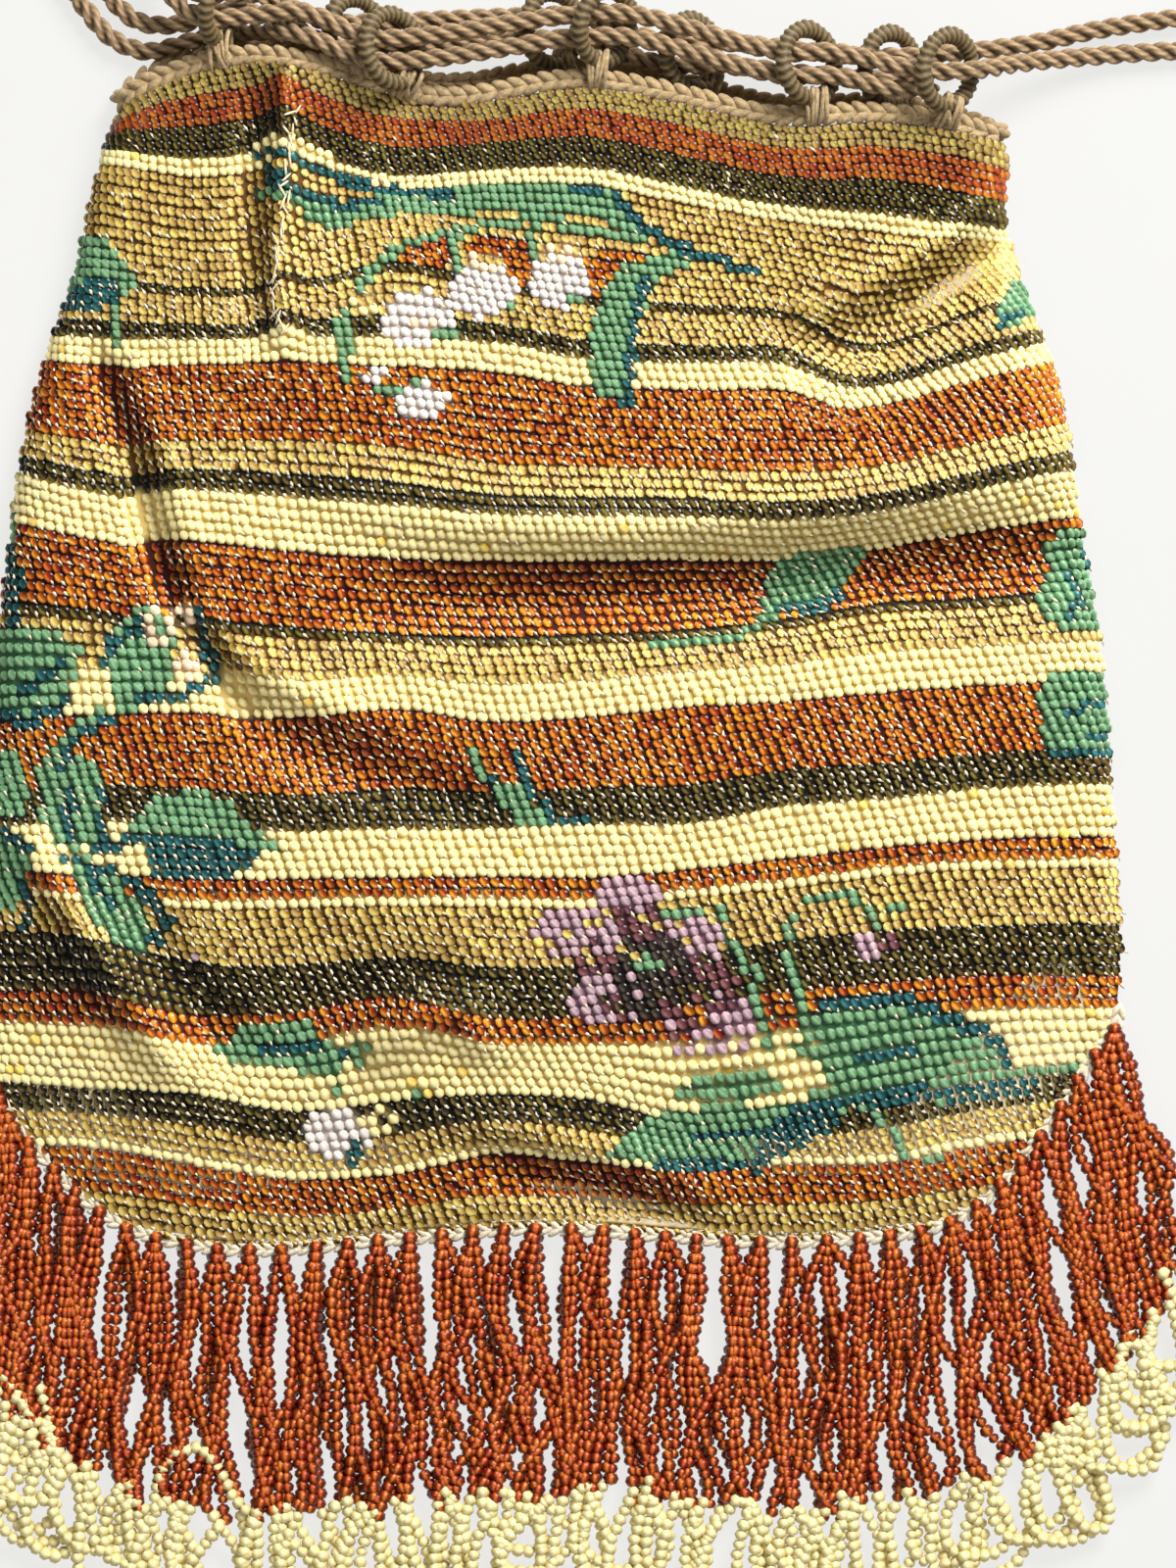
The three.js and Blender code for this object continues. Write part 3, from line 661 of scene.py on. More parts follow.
def loop_frames(path):
    """Two side directions along a closed line, turned as little as possible."""
    tangents = unit(np.roll(path, -1, axis=0) - np.roll(path, 1, axis=0))
    side = unit(np.cross(tangents[0], (0, 0, 1)))
    sides = [side]
    for tangent in list(tangents[1:]) + [tangents[0]]:
        side = unit(side - tangent * (side @ tangent))
        sides.append(side)
    across = np.cross(tangents[0], sides[0])
    excess = math.atan2(sides[-1] @ across, sides[-1] @ sides[0])
    sides = np.array(sides[:-1])
    ups = np.cross(tangents, sides)
    angles = -excess * np.arange(len(path)) / len(path)
    turned = np.cos(angles)[:, None] * sides + np.sin(angles)[:, None] * ups
    return turned, np.cross(tangents, turned)


# Helpers for meshes

def new_object(name, data):
    item = bpy.data.objects.new(name, data)
    bpy.context.collection.objects.link(item)
    return item


def purse_piece(name, mesh):
    """A piece that rides on the purse."""
    piece = new_object(name, mesh)
    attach(piece, "root")
    return piece


def mesh_piece(name, points, triangles, material, values=None, normals=None):
    """A smooth piece of triangles, with named values and, if given, normals on its points."""
    mesh = bpy.data.meshes.new(name)
    mesh.vertices.add(len(points))
    mesh.vertices.foreach_set("co", np.asarray(points, float).ravel())
    mesh.loops.add(triangles.size)
    mesh.loops.foreach_set("vertex_index", triangles.ravel())
    mesh.polygons.add(len(triangles))
    mesh.polygons.foreach_set("loop_start", np.arange(0, triangles.size, 3))
    mesh.polygons.foreach_set("loop_total", np.full(len(triangles), 3))
    mesh.update(calc_edges=True)
    mesh.shade_smooth()
    for key, numbers in (values or {}).items():
        kind, field = ("FLOAT_COLOR", "color") if np.ndim(numbers) == 2 else ("FLOAT", "value")
        layer = mesh.attributes.new(key, kind, "POINT")
        layer.data.foreach_set(field, np.asarray(numbers, float).ravel())
    if normals is not None:
        mesh.normals_split_custom_set_from_vertices(normals)
    mesh.materials.append(material)
    return purse_piece(name, mesh)


def point_vectors(mesh, key):
    """One vector for each point of a mesh, such as its place or its normal."""
    numbers = np.zeros(len(mesh.vertices) * 3)
    mesh.vertices.foreach_get(key, numbers)
    return numbers.reshape(-1, 3)


def joined(parts):
    """Points and triangles of several meshes as those of one."""
    starts = np.cumsum([0] + [len(points) for points, _ in parts])
    triangles = [faces + start for (_, faces), start in zip(parts, starts)]
    return np.vstack([points for points, _ in parts]), np.vstack(triangles)


def above_surface(points):
    """Points with none below the surface that the purse lies on."""
    return np.column_stack([points[:, :2], np.maximum(points[:, 2], 0)])


def quarter_faces(pole, ring, q):
    """Triangles of a quarter of a bead, from a pole over a ring of four points to an equator of eight."""
    here, after = ring + q, ring + (q + 1) % 4
    first, middle, last = 5 + 2 * q, 6 + 2 * q, 5 + (2 * q + 2) % 8
    return [(pole, here, after), (here, first, middle), (after, middle, last), (here, middle, after)]


def round_bead():
    """Bead for a string: round on all sides."""
    s = math.sqrt(0.5)
    ring = [(s, 0, s), (0, s, s), (-s, 0, s), (0, -s, s)]
    equator = [(math.cos(angle), math.sin(angle), 0) for angle in full_turn(8)]
    points = [(0, 0, 1)] + ring + equator + [(0, 0, -1)] + [(x, y, -z) for x, y, z in ring]
    triangles = [face for q in range(4) for face in quarter_faces(0, 1, q)]
    triangles += [(a, c, b) for q in range(4) for a, b, c in quarter_faces(13, 14, q)]
    return np.array(points, float), np.array(triangles)


def dome_bead():
    """Bead for the face of the cloth: round above, with a plain point below where the cloth hides it."""
    points, triangles = round_bead()
    pointed = [(13, 5 + (k + 1) % 8, 5 + k) for k in range(8)]
    return points[:14], np.vstack([triangles[:16], pointed])


def fine_bead():
    """Round bead with four times as many faces."""
    points, triangles = round_bead()
    points = list(points)
    middles = {}

    def middle(a, b):
        key = (min(a, b), max(a, b))
        if key not in middles:
            middles[key] = len(points)
            points.append(unit(points[a] + points[b]))
        return middles[key]

    faces = []
    for a, b, c in triangles:
        ab, bc, ca = middle(a, b), middle(b, c), middle(c, a)
        faces += [(a, ab, ca), (ab, b, bc), (ca, bc, c), (ab, bc, ca)]
    return np.array(points), np.array(faces)


def double_cone(sides):
    """Two cones base to base along Z: a bead with few faces, or a short end of thread."""
    equator = [(math.cos(angle), math.sin(angle), 0) for angle in full_turn(sides)]
    after = [(k + 1) % sides for k in range(sides)]
    triangles = [(0, 1 + k, 1 + after[k]) for k in range(sides)]
    triangles += [(sides + 1, 1 + after[k], 1 + k) for k in range(sides)]
    return np.array([(0, 0, 1)] + equator + [(0, 0, -1)], float), np.array(triangles)


def scattered(template, centres, first, second, third):
    """Copies of a template at centres. The three arrays hold each copy's half axes."""
    points, triangles = template
    placed = (
        centres[:, None, :]
        + points[None, :, 0, None] * first[:, None, :]
        + points[None, :, 1, None] * second[:, None, :]
        + points[None, :, 2, None] * third[:, None, :]
    )
    offsets = np.arange(len(centres))[:, None, None] * len(points)
    return placed.reshape(-1, 3), (triangles[None] + offsets).reshape(-1, 3)


def bead_values(template, tints):
    """Values that the glass needs: the place across a bead, which sets its painted light and shade, and the
    bead's own tint.
    """
    points = template[0]
    return {"side": np.tile(points[:, 1], len(tints)), "tint": np.repeat(tints, len(points))}


def tube_points(path, sides, ups, angles, radii):
    """Rings of points round a line, with their angles and radii."""
    across = (radii * np.cos(angles))[..., None] * sides[:, None, :]
    up = (radii * np.sin(angles))[..., None] * ups[:, None, :]
    return (path[:, None, :] + across + up).reshape(-1, 3)


def tube_faces(rings, sides, closed):
    """Triangles of a tube of rings of points."""
    triangles = []
    for i in range(rings if closed else rings - 1):
        for k in range(sides):
            a, b = i * sides + k, i * sides + (k + 1) % sides
            c, d = (i + 1) % rings * sides + k, (i + 1) % rings * sides + (k + 1) % sides
            triangles += [(a, b, d), (a, d, c)]
    return np.array(triangles)


# Materials

HUE_SPREAD = 0.07  # how far the hue varies in a glass whose beads differ fully
GLASS_IOR = 1.52
# Painted light and shade from one side of a bead to the other: a painted glow near one side of clear glass
# with painted shade at the other, and a painted highlight in the middle of opaque glass with painted shade at
# its sides.
CLEAR_PAINTED_SHADING = [(0, "body"), (0.27, "core"), (0.5, "body"), (0.8, "rim")]
OPAQUE_PAINTED_SHADING = [(0.04, "rim"), (0.34, "body"), (0.46, "core"), (0.54, "core"), (0.66, "body"), (0.96, "rim")]


def linear(colour):
    """8-bit display colour as the shader's linear colour."""
    shares = [c / 255 for c in colour]
    return tuple(c / 12.92 if c <= 0.04045 else ((c + 0.055) / 1.055) ** 2.4 for c in shares) + (1,)


def set_inputs(node, values):
    for key, value in values.items():
        node.inputs[key.replace("_", " ")].default_value = value


class Shader:
    """A material with its nodes and links at hand."""

    def __init__(self, name):
        self.material = bpy.data.materials.new(name)
        self.material.use_nodes = True
        self.nodes = self.material.node_tree.nodes
        self.links = self.material.node_tree.links
        self.surface = self.nodes["Principled BSDF"]

    def node(self, kind, **inputs):
        node = self.nodes.new(kind)
        set_inputs(node, inputs)
        return node

    def attribute(self, name, output="Fac"):
        node = self.node("ShaderNodeAttribute")
        node.attribute_name = name
        return node.outputs[output]

    def noise(self, **inputs):
        """Noise over the object's own coordinates."""
        node = self.node("ShaderNodeTexNoise", **inputs)
        self.links.new(self.node("ShaderNodeTexCoord").outputs["Object"], node.inputs["Vector"])
        return node.outputs["Fac"]

    def ramp(self, source, stops):
        node = self.node("ShaderNodeValToRGB")
        elements = node.color_ramp.elements
        while len(elements) < len(stops):
            elements.new(0.5)
        for element, (position, colour) in zip(elements, stops):
            element.position = position
            element.color = linear(colour)
        self.links.new(source, node.inputs["Fac"])
        return node.outputs["Color"]

    def scaled(self, source, factor, start):
        node = self.node("ShaderNodeMath")
        node.operation = "MULTIPLY_ADD"
        node.inputs[1].default_value = factor
        node.inputs[2].default_value = start
        self.links.new(source, node.inputs[0])
        return node.outputs[0]

    def bump(self, height, strength, distance):
        node = self.node("ShaderNodeBump", Strength=strength, Distance=distance * MM)
        self.links.new(height, node.inputs["Height"])
        self.links.new(node.outputs["Normal"], self.surface.inputs["Normal"])

    def finished(self, colour, **values):
        """The material, once its colour is linked and its constant values are set."""
        self.links.new(colour, self.surface.inputs["Base Color"])
        set_inputs(self.surface, values)
        return self.material


def bead_material(name):
    """Glass of one colour, in beads that differ in lightness and hue, with painted light and shade across
    each bead.
    """
    glass = GLASS[name]
    shader = Shader("glass_" + name)
    painted_shades = CLEAR_PAINTED_SHADING if name in CLEAR_GLASS else OPAQUE_PAINTED_SHADING
    stops = [(place, getattr(glass, shade)) for place, shade in painted_shades]
    # Painted light and shade: the ramp runs across the bead along its side value
    colour = shader.ramp(shader.scaled(shader.attribute("side"), 0.5, 0.5), stops)
    tint = shader.attribute("tint")
    spread = HUE_SPREAD * glass.variety
    varied = shader.node("ShaderNodeHueSaturation")
    shader.links.new(colour, varied.inputs["Color"])
    shader.links.new(shader.scaled(tint, glass.variety, 1 - glass.variety / 2), varied.inputs["Value"])
    shader.links.new(shader.scaled(tint, spread, 0.5 - spread / 4), varied.inputs["Hue"])
    return shader.finished(
        varied.outputs["Color"], Roughness=glass.roughness, IOR=GLASS_IOR, Specular_IOR_Level=0.34
    )


def thread_material(name, dark, light, fibre_scale=900, strength=0.5):
    """Spun thread with fine fibres and soft sheen."""
    shader = Shader(name)
    fibres = shader.noise(Scale=fibre_scale, Detail=4, Roughness=0.7)
    shader.bump(fibres, strength, 0.3)
    colour = shader.ramp(fibres, [(0.3, dark), (0.7, light)])
    return shader.finished(colour, Roughness=0.85, Sheen_Weight=0.25)


def cord_material():
    """Twisted cord: yarns that wind round each ply, with fuzz and grooves darkened by painted shade."""
    shader = Shader("twisted_cord")
    uv = shader.node("ShaderNodeUVMap")
    uv.uv_map = "yarn"
    yarns = shader.node("ShaderNodeTexWave", Scale=0.55, Distortion=1.5, Detail=2)
    yarns.wave_type = "BANDS"
    yarns.bands_direction = "DIAGONAL"
    shader.links.new(uv.outputs["UV"], yarns.inputs["Vector"])
    # Painted shade: darker where the surface sinks into the grooves between plies, lighter on their crowns
    painted_groove_shades = [(0, (78, 60, 40)), (0.45, (146, 119, 86)), (1, (182, 154, 118))]
    mix = shader.node("ShaderNodeMix")
    mix.data_type = "RGBA"
    mix.blend_type = "MULTIPLY"
    mix.inputs["Factor"].default_value = 0.8
    shader.links.new(shader.ramp(shader.attribute("core"), painted_groove_shades), mix.inputs["A"])
    light = shader.ramp(yarns.outputs["Fac"], [(0, (196, 188, 176)), (1, (255, 252, 246))])
    shader.links.new(light, mix.inputs["B"])
    shader.bump(yarns.outputs["Fac"], 0.5, 0.25)
    return shader.finished(mix.outputs["Result"], Roughness=0.8, Sheen_Weight=0.1)


def ring_material():
    """Olive thread wound round the ring, darker between its turns as painted shade."""
    shader = Shader("covered_ring")
    # Painted shade between the turns of thread, lighter on their tops
    painted_groove_shades = [(0, (50, 39, 20)), (0.6, (101, 82, 47)), (1, (136, 114, 71))]
    shader.bump(shader.noise(Scale=1600, Detail=3), 0.5, 0.2)
    return shader.finished(shader.ramp(shader.attribute("core"), painted_groove_shades), Roughness=0.6, Sheen_Weight=0.05)


def ground_material():
    """Knitted ground behind the beads, in painted shade: the dark rim colour of the glass over it."""
    shader = Shader("knitted_ground_painted_shade")
    shader.bump(shader.noise(Scale=1500, Detail=3), 0.6, 0.3)
    return shader.finished(shader.attribute("ground", "Color"), Roughness=0.9)


def floor_material():
    """Pale board, lit from behind so that shadows on it stay light."""
    shader = Shader("pale_board")
    colour = shader.ramp(shader.noise(Scale=9, Detail=3), [(0.3, (81, 80, 78)), (0.7, (87, 85, 83))])
    return shader.finished(
        colour, Roughness=0.6, Emission_Color=(1, 1, 0.98, 1), Emission_Strength=0.76
    )


bead_looks = {name: bead_material(name) for name in GLASS}
cord_look = cord_material()
ring_look = ring_material()
cream_look = thread_material("cream_thread", (214, 194, 148), (248, 236, 204))
shell_look = thread_material("knitted_cloth", (176, 156, 116), (214, 198, 158), 700, 0.8)
edging_look = thread_material("taupe_thread", (134, 109, 72), (200, 172, 126), 1100, 0.7)
head_look = thread_material("cream_crochet", (196, 180, 146), (236, 228, 206), 1100, 0.7)


# Camera

def add_camera():
    """Camera straight above the middle of the photo, with its field of view."""
    data = bpy.data.cameras.new("camera")
    data.sensor_fit = "VERTICAL"
    half = PHOTO_PX[1] / 2 * PIXEL
    data.angle_y = 2 * math.atan(half / ((CAMERA_HEIGHT - FACE_HEIGHT) * MM))
    data.clip_start = 0.01
    camera = new_object("camera", data)
    x, y = from_pixel(PHOTO_PX[0] / 2, PHOTO_PX[1] / 2)
    camera.location = (x, y, CAMERA_HEIGHT * MM)
    bpy.context.scene.camera = camera


add_camera()


# Drawstrings

def ring_centre(name):
    low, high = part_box(name)
    return (np.array(low) + np.array(high)) / 2


def through(offset, heading, *names):
    """Straight stretches through rings, moved off their centres along Y. A heading of 1 runs towards +X."""
    step = np.array([heading * CORD_REACH * MM, 0, 0])
    centres = [ring_centre(name) + np.array([0, offset * MM, 0]) for name in names]
    return [centre + side * step for centre in centres for side in (-1, 1)]


def lying(*points):
    """Points of the layout in mm, on the surface where they give no height."""
    return [from_layout(x, y, height[0] if height else CORD_LIE) for x, y, *height in points]


def right_route():
    """Its pull loop lies at the right, and its turn at the left stands out as a slack loop."""
    route = through(0, -1, "ring_right")
    route += through(CORD_HALF, -1, "ring_front_3", "ring_front_2", "ring_front_1")
    route += lying((-38.5, 103.8, 11.9))
    route += through(-CORD_HALF, -1, "ring_left")
    route += lying((-62.3, 110.6, 4.6), (-67, 116.5, 1.9), (-70.5, 123))
    route += lying((-66.5, 127), (-62.2, 123), (-60.4, 116.5, 2.4))
    route += through(CORD_HALF, 1, "ring_left", "ring_back_1", "ring_back_2", "ring_back_3", "ring_back_4")
    route += lying((67.5, 98, 3.3), (78.8, 99.6, 2), (88, 101.6), (100.6, 103.5), (112, 105), (122, 105.6))
    route += lying((127, 102), (122, 98.4), (112, 98.6), (100.6, 98.3), (88, 97.4, 2.4), (76, 96, 6.4))
    return route


def left_route():
    """Its pull loop lies at the left, and it turns back inside the right end of the mouth."""
    route = through(-CORD_HALF, 1, "ring_front_1", "ring_front_2", "ring_front_3")
    route += lying((56, 91.6, 10.6), (61.4, 92, 8))
    route += through(-CORD_HALF, -1, "ring_back_4", "ring_back_3", "ring_back_2", "ring_back_1")
    route += lying((-43, 103.6, 2.4), (-51, 104.8), (-58, 102.6), (-64.7, 103), (-69.6, 107.4), (-73.2, 115))
    route += lying((-77.5, 123), (-81.5, 130), (-87, 133), (-89.6, 127.6), (-85, 120.6), (-78.6, 113.4))
    route += lying((-73.6, 105.6), (-68.8, 100.2), (-63.2, 98.2), (-57, 99.6), (-50.6, 101.2))
    route += lying((-46, 101.2, 4.4), (-38.5, 100.2, 12))
    return route


def ply_outline():
    """Section of the cord as angles and distances, and how far each point stands out of the grooves, which
    sets the painted shade in them.
    """
    angles = full_turn(CORD_PLIES * PLY_SIDES)
    half = math.pi / CORD_PLIES
    to_ply = CORD_RADIUS / (1 + math.sin(half))
    ply = to_ply * math.sin(half)
    off = (angles + half) % (2 * half) - half
    radii = to_ply * np.cos(off) + np.sqrt(np.maximum(ply**2 - (to_ply * np.sin(off)) ** 2, 0))
    core = np.clip(2 * radii / CORD_RADIUS - 1, 0, 1)
    return angles, np.maximum(radii, CORD_RADIUS * GROOVE_SHARE) * MM, core


def drawstring(node, route):
    """Twisted cord along a closed route, with its twist laid over its real length."""
    path = evenly_along(smooth_loop(route, 12), spacing=CORD_STEP * MM, closed=True)
    length = np.linalg.norm(path - np.roll(path, 1, axis=0), axis=1).sum()
    angles, radii, core = ply_outline()
    turns = round(length / (CORD_TURN * MM))
    around = angles[None, :] + turns * full_turn(len(path))[:, None]
    points = above_surface(tube_points(path, *loop_frames(path), around, radii))
    triangles = tube_faces(len(path), len(angles), True)
    # Drives the painted shade in the grooves
    values = {"core": np.tile(core, len(path))}
    piece = mesh_piece(node + "_cord", points, triangles, cord_look, values)
    layer = piece.data.uv_layers.new(name="yarn")
    along, across = np.divmod(triangles.ravel(), len(angles))
    layer.data.foreach_set("uv", np.column_stack([along * CORD_STEP, across * YARN_STEP]).ravel())
    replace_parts(piece, node)


drawstring("drawstring_right", right_route())
drawstring("drawstring_left", left_route())

# Shape of the bag

OFF_CLOTH = 0.05  # start of a straight line that leaves the cloth, mm
SAME_POINT = 0.01  # distance of points of the solid that are one point, mm
SIDE_GUESS_PX = (0, 1130)  # first guesses of where a row ends
MIDDLE_ROW = 60.5  # row over which the steps across the cloth are measured
FLAT_ANGLES = {"angle_face_threshold": 0.7, "angle_shape_threshold": 3.1}  # triangles that make one face
DOWN, UP, BACK, RIGHT, LEFT = ((0, 0, -1), (0, 0, 1), (0, -1, 0), (1, 0, 0), (-1, 0, 0))


def smooth_bag():
    """The bag's solid as a finer and smoother mesh."""
    work = bmesh.new()
    work.from_mesh(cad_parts["bag"].data)
    bmesh.ops.remove_doubles(work, verts=work.verts, dist=SAME_POINT * MM)
    bmesh.ops.join_triangles(work, faces=work.faces, **FLAT_ANGLES)
    keep = work.edges.layers.float.new("crease_edge")
    for edge in work.edges:
        if edge.is_manifold and edge.calc_face_angle() > SHARP_ANGLE:
            edge[keep] = 1
    coarse = bpy.data.meshes.new("bag_coarse")
    work.to_mesh(coarse)
    work.free()
    holder = new_object("bag_coarse", coarse)
    holder.modifiers.new("smooth", "SUBSURF").levels = 1
    evaluated = holder.evaluated_get(bpy.context.evaluated_depsgraph_get())
    fine = bpy.data.meshes.new_from_object(evaluated)
    bpy.data.objects.remove(holder)
    bpy.data.meshes.remove(coarse)
    return fine


bag_mesh = smooth_bag()
bag_points = point_vectors(bag_mesh, "co")
bag_faces = [tuple(face.vertices) for face in bag_mesh.polygons]
bag_tree = BVHTree.FromPolygons([Vector(point) for point in bag_points], bag_faces)


def cast(origin, direction):
    """Place and outward direction where a straight line first meets the bag, or None."""
    place, normal, _, _ = bag_tree.ray_cast(Vector(origin), Vector(direction))
    if place is None:
        return None
    if normal.dot(Vector(direction)) > 0:
        normal = -normal
    return np.array(place), np.array(normal)


def slack_over_seam(heights):
    """How freely cloth at these heights folds: not at all at the seam, and fully well above it."""
    return np.clip((heights - SEAM_HEIGHT * MM) / (SLACK_HEIGHT * MM), 0, 1)


def folded(heights, px, py, fold):
    """Heights of the front's cloth once it thins towards the bottom edge and lies in folds."""
    over_seam = np.maximum(heights - SEAM_HEIGHT * MM, 0)
    return heights - over_seam * (1 - fullness(px, py)) + fold(px, py) * slack_over_seam(heights)


def face_points(px, py, on_back):
    """Places and outward directions on the bag's front or back under photo pixels, with misses as NaN."""
    px, py = np.broadcast_arrays(np.asarray(px, float), np.asarray(py, float))
    x, y = from_pixel(px, py)
    places = np.full(px.shape + (3,), np.nan)
    normals = np.full(px.shape + (3,), np.nan)
    start, direction = (-ABOVE * MM, UP) if on_back else (ABOVE * MM, DOWN)
    for index in np.ndindex(px.shape):
        hit = cast((x[index], y[index], start), direction)
        if hit:
            places[index], normals[index] = hit
    if not on_back:
        height = places[..., 2].copy()
        over_seam = np.maximum(height - SEAM_HEIGHT * MM, 0)[..., None]
        places[..., 2] = folded(height, px, py, fold_height)
        normals[..., 2] /= fullness(px, py)
        tilt = slope(fold_height, px, py) * slack_over_seam(height)[..., None]
        tilt = tilt + slope(fullness, px, py) * over_seam
        normals = unit(normals - tilt * normals[..., 2:])
    return places, normals


def row_end(row, px, start, direction, corner):
    """Photo place of one end of a knitted row, found from a first guess in a few rounds."""
    for _ in range(4):
        py = np.clip(row_height(np.array([float(px)]), row)[0], TOP_CORNER_PX, corner)
        _, y = from_pixel(px, py)
        hit = cast((start * MM, float(y), SEAM_HEIGHT * MM), direction)
        px = float(to_pixel(hit[0][0], y)[0])
    return px


def row_ends(row):
    """Photo places of the two ends of a knitted row. Below a corner they keep to the line above it."""
    left = row_end(row, SIDE_GUESS_PX[0], -BESIDE, RIGHT, LEFT_CORNER_PX)
    right = row_end(row, SIDE_GUESS_PX[1], BESIDE, LEFT, RIGHT_CORNER_PX)
    return left, right


ends_by_row = {row: row_ends(row) for row in np.arange(0, len(ROW_COLOURS) + 0.01, 0.5)}


def width_shares(on_back):
    """Share of the width in plan for even steps over the cloth, read closely where it turns at the sides."""
    left, right = ends_by_row[MIDDLE_ROW]
    side, middle = np.linspace(0.001, 0.05, 60), np.linspace(0.055, 0.945, 60)
    shares = np.concatenate([side, middle, np.linspace(0.95, 0.999, 60)])
    px = left + (right - left) * shares
    places, _ = face_points(px, row_height(px, MIDDLE_ROW), on_back)
    good = ~np.isnan(places[:, 0])
    lengths = lengths_along(places[good])
    return lengths / lengths[-1], shares[good]


def knitted_grid(rows, steps, on_back):
    """Photo pixels of a grid of rows and of shares of the way across."""
    even, shares = width_shares(on_back)
    steps = np.broadcast_to(steps, (len(rows), steps.shape[-1]))
    px = np.zeros(steps.shape)
    py = np.zeros(steps.shape)
    for k, row in enumerate(rows):
        left, right = ends_by_row[row]
        px[k] = left + (right - left) * np.interp(steps[k], even, shares)
        py[k] = row_height(px[k], row)
    return px, py


# Beads and thread of the cloth

CODES = {name: code for code, name in enumerate(GLASS)}


def knitted_colours(px, py, rows):
    """Colour codes of beads at photo pixels: the band of their row, and the motif over it."""
    codes = np.array([CODES[ROW_COLOURS[int(row)]] for row in rows])[:, None] * np.ones(px.shape, int)
    chance = rng.random(px.shape)
    codes[(codes == CODES["cream"]) & (chance < YELLOW_SHARE)] = CODES["yellow"]
    for patch in PATCHES:
        codes[inside_outline(px, py, patch.outline)] = CODES[patch.colour]
    for stroke in STROKES:
        codes[line_position(px, py, stroke.line)[0] < stroke.width / 2] = CODES[stroke.colour]
    for spot in SPOTS:
        inside = ((px - spot.x) / spot.half_width) ** 2 + ((py - spot.y) / spot.half_height) ** 2 < 1
        codes[inside & (rng.random(px.shape) < spot.share)] = CODES[spot.colour]
    return codes


def bead_axes(normals, degrees):
    """Thread direction in the face of the cloth, and the direction across it."""
    angle = np.radians(degrees)
    flat = np.stack([np.cos(angle), np.sin(angle), np.zeros_like(angle)], axis=-1)
    along = unit(flat - normals * np.sum(flat * normals, axis=-1, keepdims=True))
    return along, np.cross(normals, along)


def knit(side, on_back, template):
    """Beads of one face, joined by colour. On the back, motifs carry on over the side edges."""
    rows = np.arange(len(ROW_COLOURS)) + 0.5
    phases = (np.arange(len(rows)) * SKEW) % 1
    steps = (np.arange(COLUMNS)[None, :] + phases[:, None]) / COLUMNS
    px, py = knitted_grid(rows, steps, on_back)
    places, normals = face_points(px, py, on_back)
    left, right = px[:, :1], px[:, -1:]
    mirrored = 2 * np.where(px < (left + right) / 2, left, right) - px
    codes = knitted_colours(mirrored if on_back else px, py, rows)
    cell = np.abs(np.gradient(px, axis=1) * np.gradient(py, axis=0))
    size = np.clip(np.sqrt(cell) * PIXEL / (BEAD_SPACING * MM), *BEAD_SHARES)
    size = np.where((px - left < SIDE_BEADS_PX) | (right - px < SIDE_BEADS_PX), SIDE_SHARE, size)
    good = ~np.isnan(places[..., 0])
    places, normals, codes, size = places[good], normals[good], codes[good], size[good]
    wobble = rng.normal(0, 1, (len(places), 4))
    along, across = bead_axes(normals, AXIS_DEGREES + AXIS_SPREAD * wobble[:, 0])
    size = (size * (1 + SIZE_SPREAD * wobble[:, 1]))[:, None] * MM / 2
    stray = (across * wobble[:, 2:3] + along * wobble[:, 3:]) * PLACE_SPREAD * MM
    centres = places - normals * BEAD_INSET * MM + stray
    tint = rng.random(len(places))
    for name, code in CODES.items():
        chosen = codes == code
        if not chosen.any():
            continue
        axes = [along[chosen], across[chosen], normals[chosen]]
        halves = [axis * size[chosen] * extent for axis, extent in zip(axes, BEAD_SIZE)]
        points, triangles = scattered(template, centres[chosen], *halves)
        shading, _ = scattered(template, normals[chosen] * CLOTH_SHARE, *axes)
        values = bead_values(template, tint[chosen])
        piece = f"beads_{side}_{name}"
        mesh_piece(piece, points, triangles, bead_looks[name], values, unit(shading))
    return centres, normals, along, codes


def knit_thread(centres, normals, along, codes):
    """Ends of the cream thread that show between the beads, fewer near the mouth where rows lie close."""
    px, py = to_pixel(centres[:, 0], centres[:, 1])
    shown = np.isin(codes, [CODES[name] for name in THREAD_COLOURS])
    waves = [np.sin(at / wave + phase) for at, (wave, phase) in zip((px, py), THREAD_WAVES)]
    patchy = THREAD_SHARE + THREAD_VARIES * waves[0] * waves[1]
    chance = np.interp(py, THREAD_SHOWS_PX, (0, 1)) * np.where(shown, patchy, THREAD_ELSEWHERE)
    kept = rng.random(len(centres)) < chance
    centres, normals, along = centres[kept], normals[kept], along[kept]
    wobble = rng.normal(0, 1, (len(centres), 2))
    size = rng.uniform(*THREAD_SHARES, (len(centres), 2)) * MM / 2
    ahead = THREAD_AHEAD + THREAD_STRAY * wobble[:, :1]
    middle = centres + along * ahead * MM + normals * THREAD_LIFT * MM
    across = np.cross(normals, along)
    lean = unit(along + across * THREAD_LEAN * wobble[:, 1:] - normals * THREAD_DIP)
    aside = np.cross(normals, lean)
    length, half = size[:, :1] * THREAD_LENGTH, size[:, 1:] * THREAD_WIDTH
    points, triangles = scattered(double_cone(4), middle, aside * half, normals * half, lean * length)
    mesh_piece("knitting_thread", points, triangles, cream_look)


def darning():
    """Cream stitches that mend the ridge at the top left."""
    path = evenly_along([(x, y, 0) for x, y in DARN_PX], spacing=DARN_STEP_PX)
    path[:, :2] += rng.normal(0, DARN_SPREAD_PX, (len(path), 2))
    places, normals = face_points(path[:, 0], path[:, 1], False)
    directions = rng.choice(DARN_DEGREES, len(path)) + rng.normal(0, DARN_TURN, len(path))
    along, across = bead_axes(normals, directions)
    length = rng.uniform(*DARN_LENGTHS, len(path))[:, None] * MM
    half = DARN_RADIUS * MM
    centres = places + normals * DARN_LIFT * MM
    points, triangles = scattered(round_bead(), centres, along * length, across * half, normals * half)
    mesh_piece("darning", points, triangles, cream_look)


